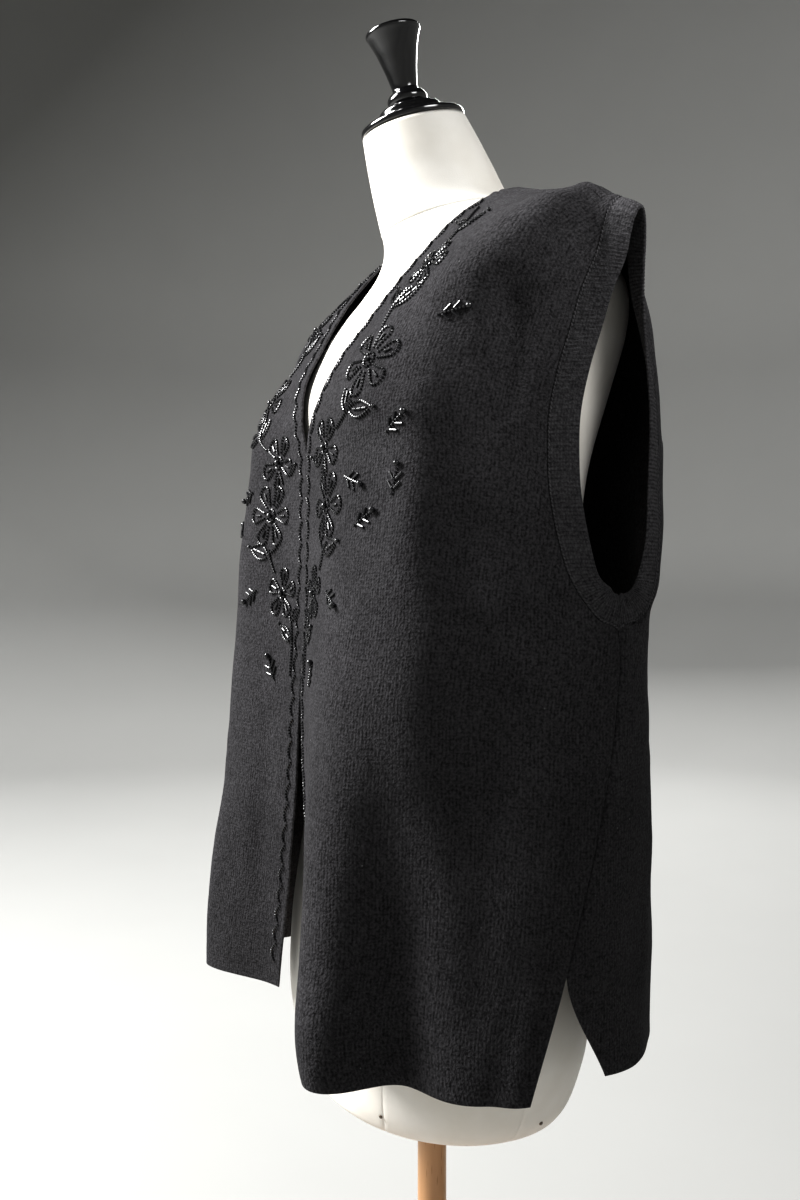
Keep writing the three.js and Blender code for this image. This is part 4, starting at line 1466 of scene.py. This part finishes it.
class CARDIGAN_OT_beadwork(bpy.types.Operator):
    """Sew the beadwork to the fronts"""

    bl_idname = "cardigan.beadwork"
    bl_label = "Beadwork"

    def execute(self, context):
        beads = context.scene.cardigan_beads
        seed, small, big = beads.seed / MM, beads.small / MM, beads.round / MM
        long, width = beads.bugle / MM, beads.bugle_width / MM
        short = long * SHORT_BUGLE
        shapes = {
            "seed": turned_bead([(x * seed, r * seed) for x, r in SEED_PROFILE], 8),
            "small": turned_bead(ball_profile(small / 2, 0.92, 7), 12),
            "round": turned_bead(ball_profile(big / 2, 0.95, 9), 16),
            "bugle": turned_bead([(x * long, r * width) for x, r in BUGLE_PROFILE], 8),
            "short": turned_bead([(x * short, r * width) for x, r in BUGLE_PROFILE], 8),
        }
        sizes = {  # along the thread and across it
            "seed": (0.8 * seed, seed * 0.94),
            "small": (small, small),
            "round": (big, big),
            "bugle": (long, width),
            "short": (short, width),
        }
        glass = glass_material("jet glass", beads.glass)
        for side, flip in (("left", False), ("right", True)):
            panel = panels(context.scene.cardigan)["front_" + side]
            surface, placed = Surface(panel), []
            for kind, u, v, heading in spread_out(beadwork(EdgePath(panel), seed * SEED_PITCH), sizes):
                point, axes = surface.axes(u, v, heading)
                at = np.array(point) + axes[2] * (sizes[kind][1] / 2 - SEWN_IN)
                placed.append(placed_bead(kind, axes, at, flip))
            piece = bead_mesh("beadwork_" + side, shapes, placed, glass, smooth_shade=False)
            declare_cloth(bpy.data.objects["knit_front_" + side], *panel.cut(), [piece])
        return {"FINISHED"}


class CARDIGAN_OT_form(bpy.types.Operator):
    """Cover the dress form and fit its cap and finial"""

    bl_idname = "cardigan.form"
    bl_label = "Dress form"

    def execute(self, context):
        stand = context.scene.cardigan_stand
        cover = cover_material("cotton jersey cover", stand.cover)
        body = form_object("form_cover", cover)
        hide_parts("form_body")
        steel = steel_material("browned steel", colour("4a4038"))
        bead_mesh("cover_pins", {"pin": turned_bead(PIN_PROFILE, 12)}, pin_points(), steel)
        lacquer = lacquer_material("black lacquered beech", stand.lacquer)
        # piece, its CAD part, profile, how far its corners are rounded
        for name, node_name, profile, reach in (
            ("lacquered_cap", "neck_cap", CAP_PROFILE, 1.2),
            ("lacquered_finial", "finial", FINIAL_PROFILE, 4.0),
        ):
            piece = turned_object(name, rounded(profile, reach), 96, lacquer, head_matrix())
            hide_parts(node_name)
        return {"FINISHED"}


class CARDIGAN_OT_stand(bpy.types.Operator):
    """Turn the pole and the round base"""

    bl_idname = "cardigan.stand"
    bl_label = "Stand"

    def execute(self, context):
        stand = context.scene.cardigan_stand
        radius, thick = stand.base_radius / MM, stand.base_thickness / MM
        profile = [(0, 0), (radius - 4, 0), (radius, 4), (radius, 13), (radius - 3, 18)]
        profile = rounded(profile + [(radius - 10, thick), (0, thick)], 4.0)
        base = turned_object("beech_base", profile, 128, beech_material("beech base", stand.beech, "X"))
        radius, low, high = stand.pole_radius / MM, POLE_BOX[0].z / MM, POLE_BOX[1].z / MM
        profile = rounded([(0, low), (radius, low), (radius, high), (0, high)], 0.8)
        pole = turned_object("beech_pole", profile, 64, beech_material("beech pole", stand.beech, "Z"))
        for piece, name in ((base, "base"), (pole, "pole")):
            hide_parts(name)
        return {"FINISHED"}


STAGE_PROFILE = [(0, 0), (1.9, 0), (3.2, 0.12), (4.2, 0.75), (4.75, 1.9), (4.9, 5.0)]  # metres
CAMERA_AT = (0.8537, -0.4083, 0.655)
CAMERA_TURN = 66  # degrees that the camera stands round from the front
LIGHTS = [
    # name, place, looked at, size, spread in degrees
    ("key", (-1.15, -2.1, 2.5), (0, 0, 0.72), (1.1, 1.6), 180),
    ("back", (-2.3, 1.9, 2.0), (0, 0, 0.75), (1.4, 1.4), 180),
    ("side", (0.6, 0.12, 1.24), (0.19, 0.02, 0.95), (0.3, 0.3), 50),
]


class CARDIGAN_OT_stage(bpy.types.Operator):
    """Lay the pale floor, set the soft lights and the camera"""

    bl_idname = "cardigan.stage"
    bl_label = "Stage"

    def execute(self, context):
        stage, scene = context.scene.cardigan_stage, context.scene
        profile = rounded([(r / MM, z / MM) for r, z in STAGE_PROFILE], 200)
        points, index = turned_rings(profile[1:], 96)
        faces = grid_faces(wrapped(index))[:, ::-1].tolist() + [index[0].tolist()]
        mesh_object("floor", points, faces, paper_material("background paper", stage.paper))
        for name, place, target, size, spread in LIGHTS:
            light = bpy.data.lights.new(name, "AREA")
            light.shape = "RECTANGLE"
            light.size, light.size_y = size
            light.energy = getattr(stage, name + "_power")
            light.spread = math.radians(spread)
            lamp = linked(name, light)
            lamp.location = place
            way = Vector(target) - Vector(place)
            lamp.rotation_euler = way.to_track_quat("-Z", "Y").to_euler()
        scene.world = bpy.data.worlds.new("studio")
        scene.world.use_nodes = True
        back = scene.world.node_tree.nodes["Background"]
        back.inputs["Color"].default_value = (1, 1, 1, 1)
        back.inputs["Strength"].default_value = stage.sky
        scene.view_settings.view_transform = "Standard"
        scene.view_settings.gamma = stage.contrast
        camera = linked("camera", bpy.data.cameras.new("camera"))
        camera.data.lens, camera.data.sensor_width = stage.lens, 36
        camera.location = CAMERA_AT
        camera.rotation_euler = (math.pi / 2, 0, math.radians(CAMERA_TURN))
        scene.camera = camera
        return {"FINISHED"}


OPERATORS = (
    CARDIGAN_OT_stage,
    CARDIGAN_OT_fronts,
    CARDIGAN_OT_back,
    CARDIGAN_OT_bands,
    CARDIGAN_OT_beadwork,
    CARDIGAN_OT_form,
    CARDIGAN_OT_stand,
)


class CARDIGAN_PT_panel(bpy.types.Panel):
    """Lists the pieces of the cardigan"""

    bl_idname = "CARDIGAN_PT_panel"
    bl_label = "Knit cardigan"
    bl_space_type = "VIEW_3D"
    bl_region_type = "UI"
    bl_category = "Cardigan"

    def draw(self, context):
        for operator in OPERATORS:
            self.layout.operator(operator.bl_idname)
        for group in SETTINGS:
            box = self.layout.box()
            values = getattr(context.scene, group)
            for name in SETTINGS[group].__annotations__:
                box.prop(values, name)


SETTINGS = {
    "cardigan": CardiganSettings,
    "cardigan_beads": BeadSettings,
    "cardigan_stand": StandSettings,
    "cardigan_stage": StageSettings,
}


def register():
    for made in (*SETTINGS.values(), *OPERATORS, CARDIGAN_PT_panel):
        bpy.utils.register_class(made)
    for name, group in SETTINGS.items():
        setattr(bpy.types.Scene, name, bpy.props.PointerProperty(type=group))


def unregister():
    for name in SETTINGS:
        delattr(bpy.types.Scene, name)
    for made in (CARDIGAN_PT_panel, *reversed(OPERATORS), *SETTINGS.values()):
        bpy.utils.unregister_class(made)


def main():
    register()
    bpy.ops.cardigan.stage()
    bpy.ops.cardigan.fronts()
    bpy.ops.cardigan.back()
    bpy.ops.cardigan.bands()
    bpy.ops.cardigan.beadwork()
    bpy.ops.cardigan.form()
    bpy.ops.cardigan.stand()


if __name__ == "__main__":
    main()
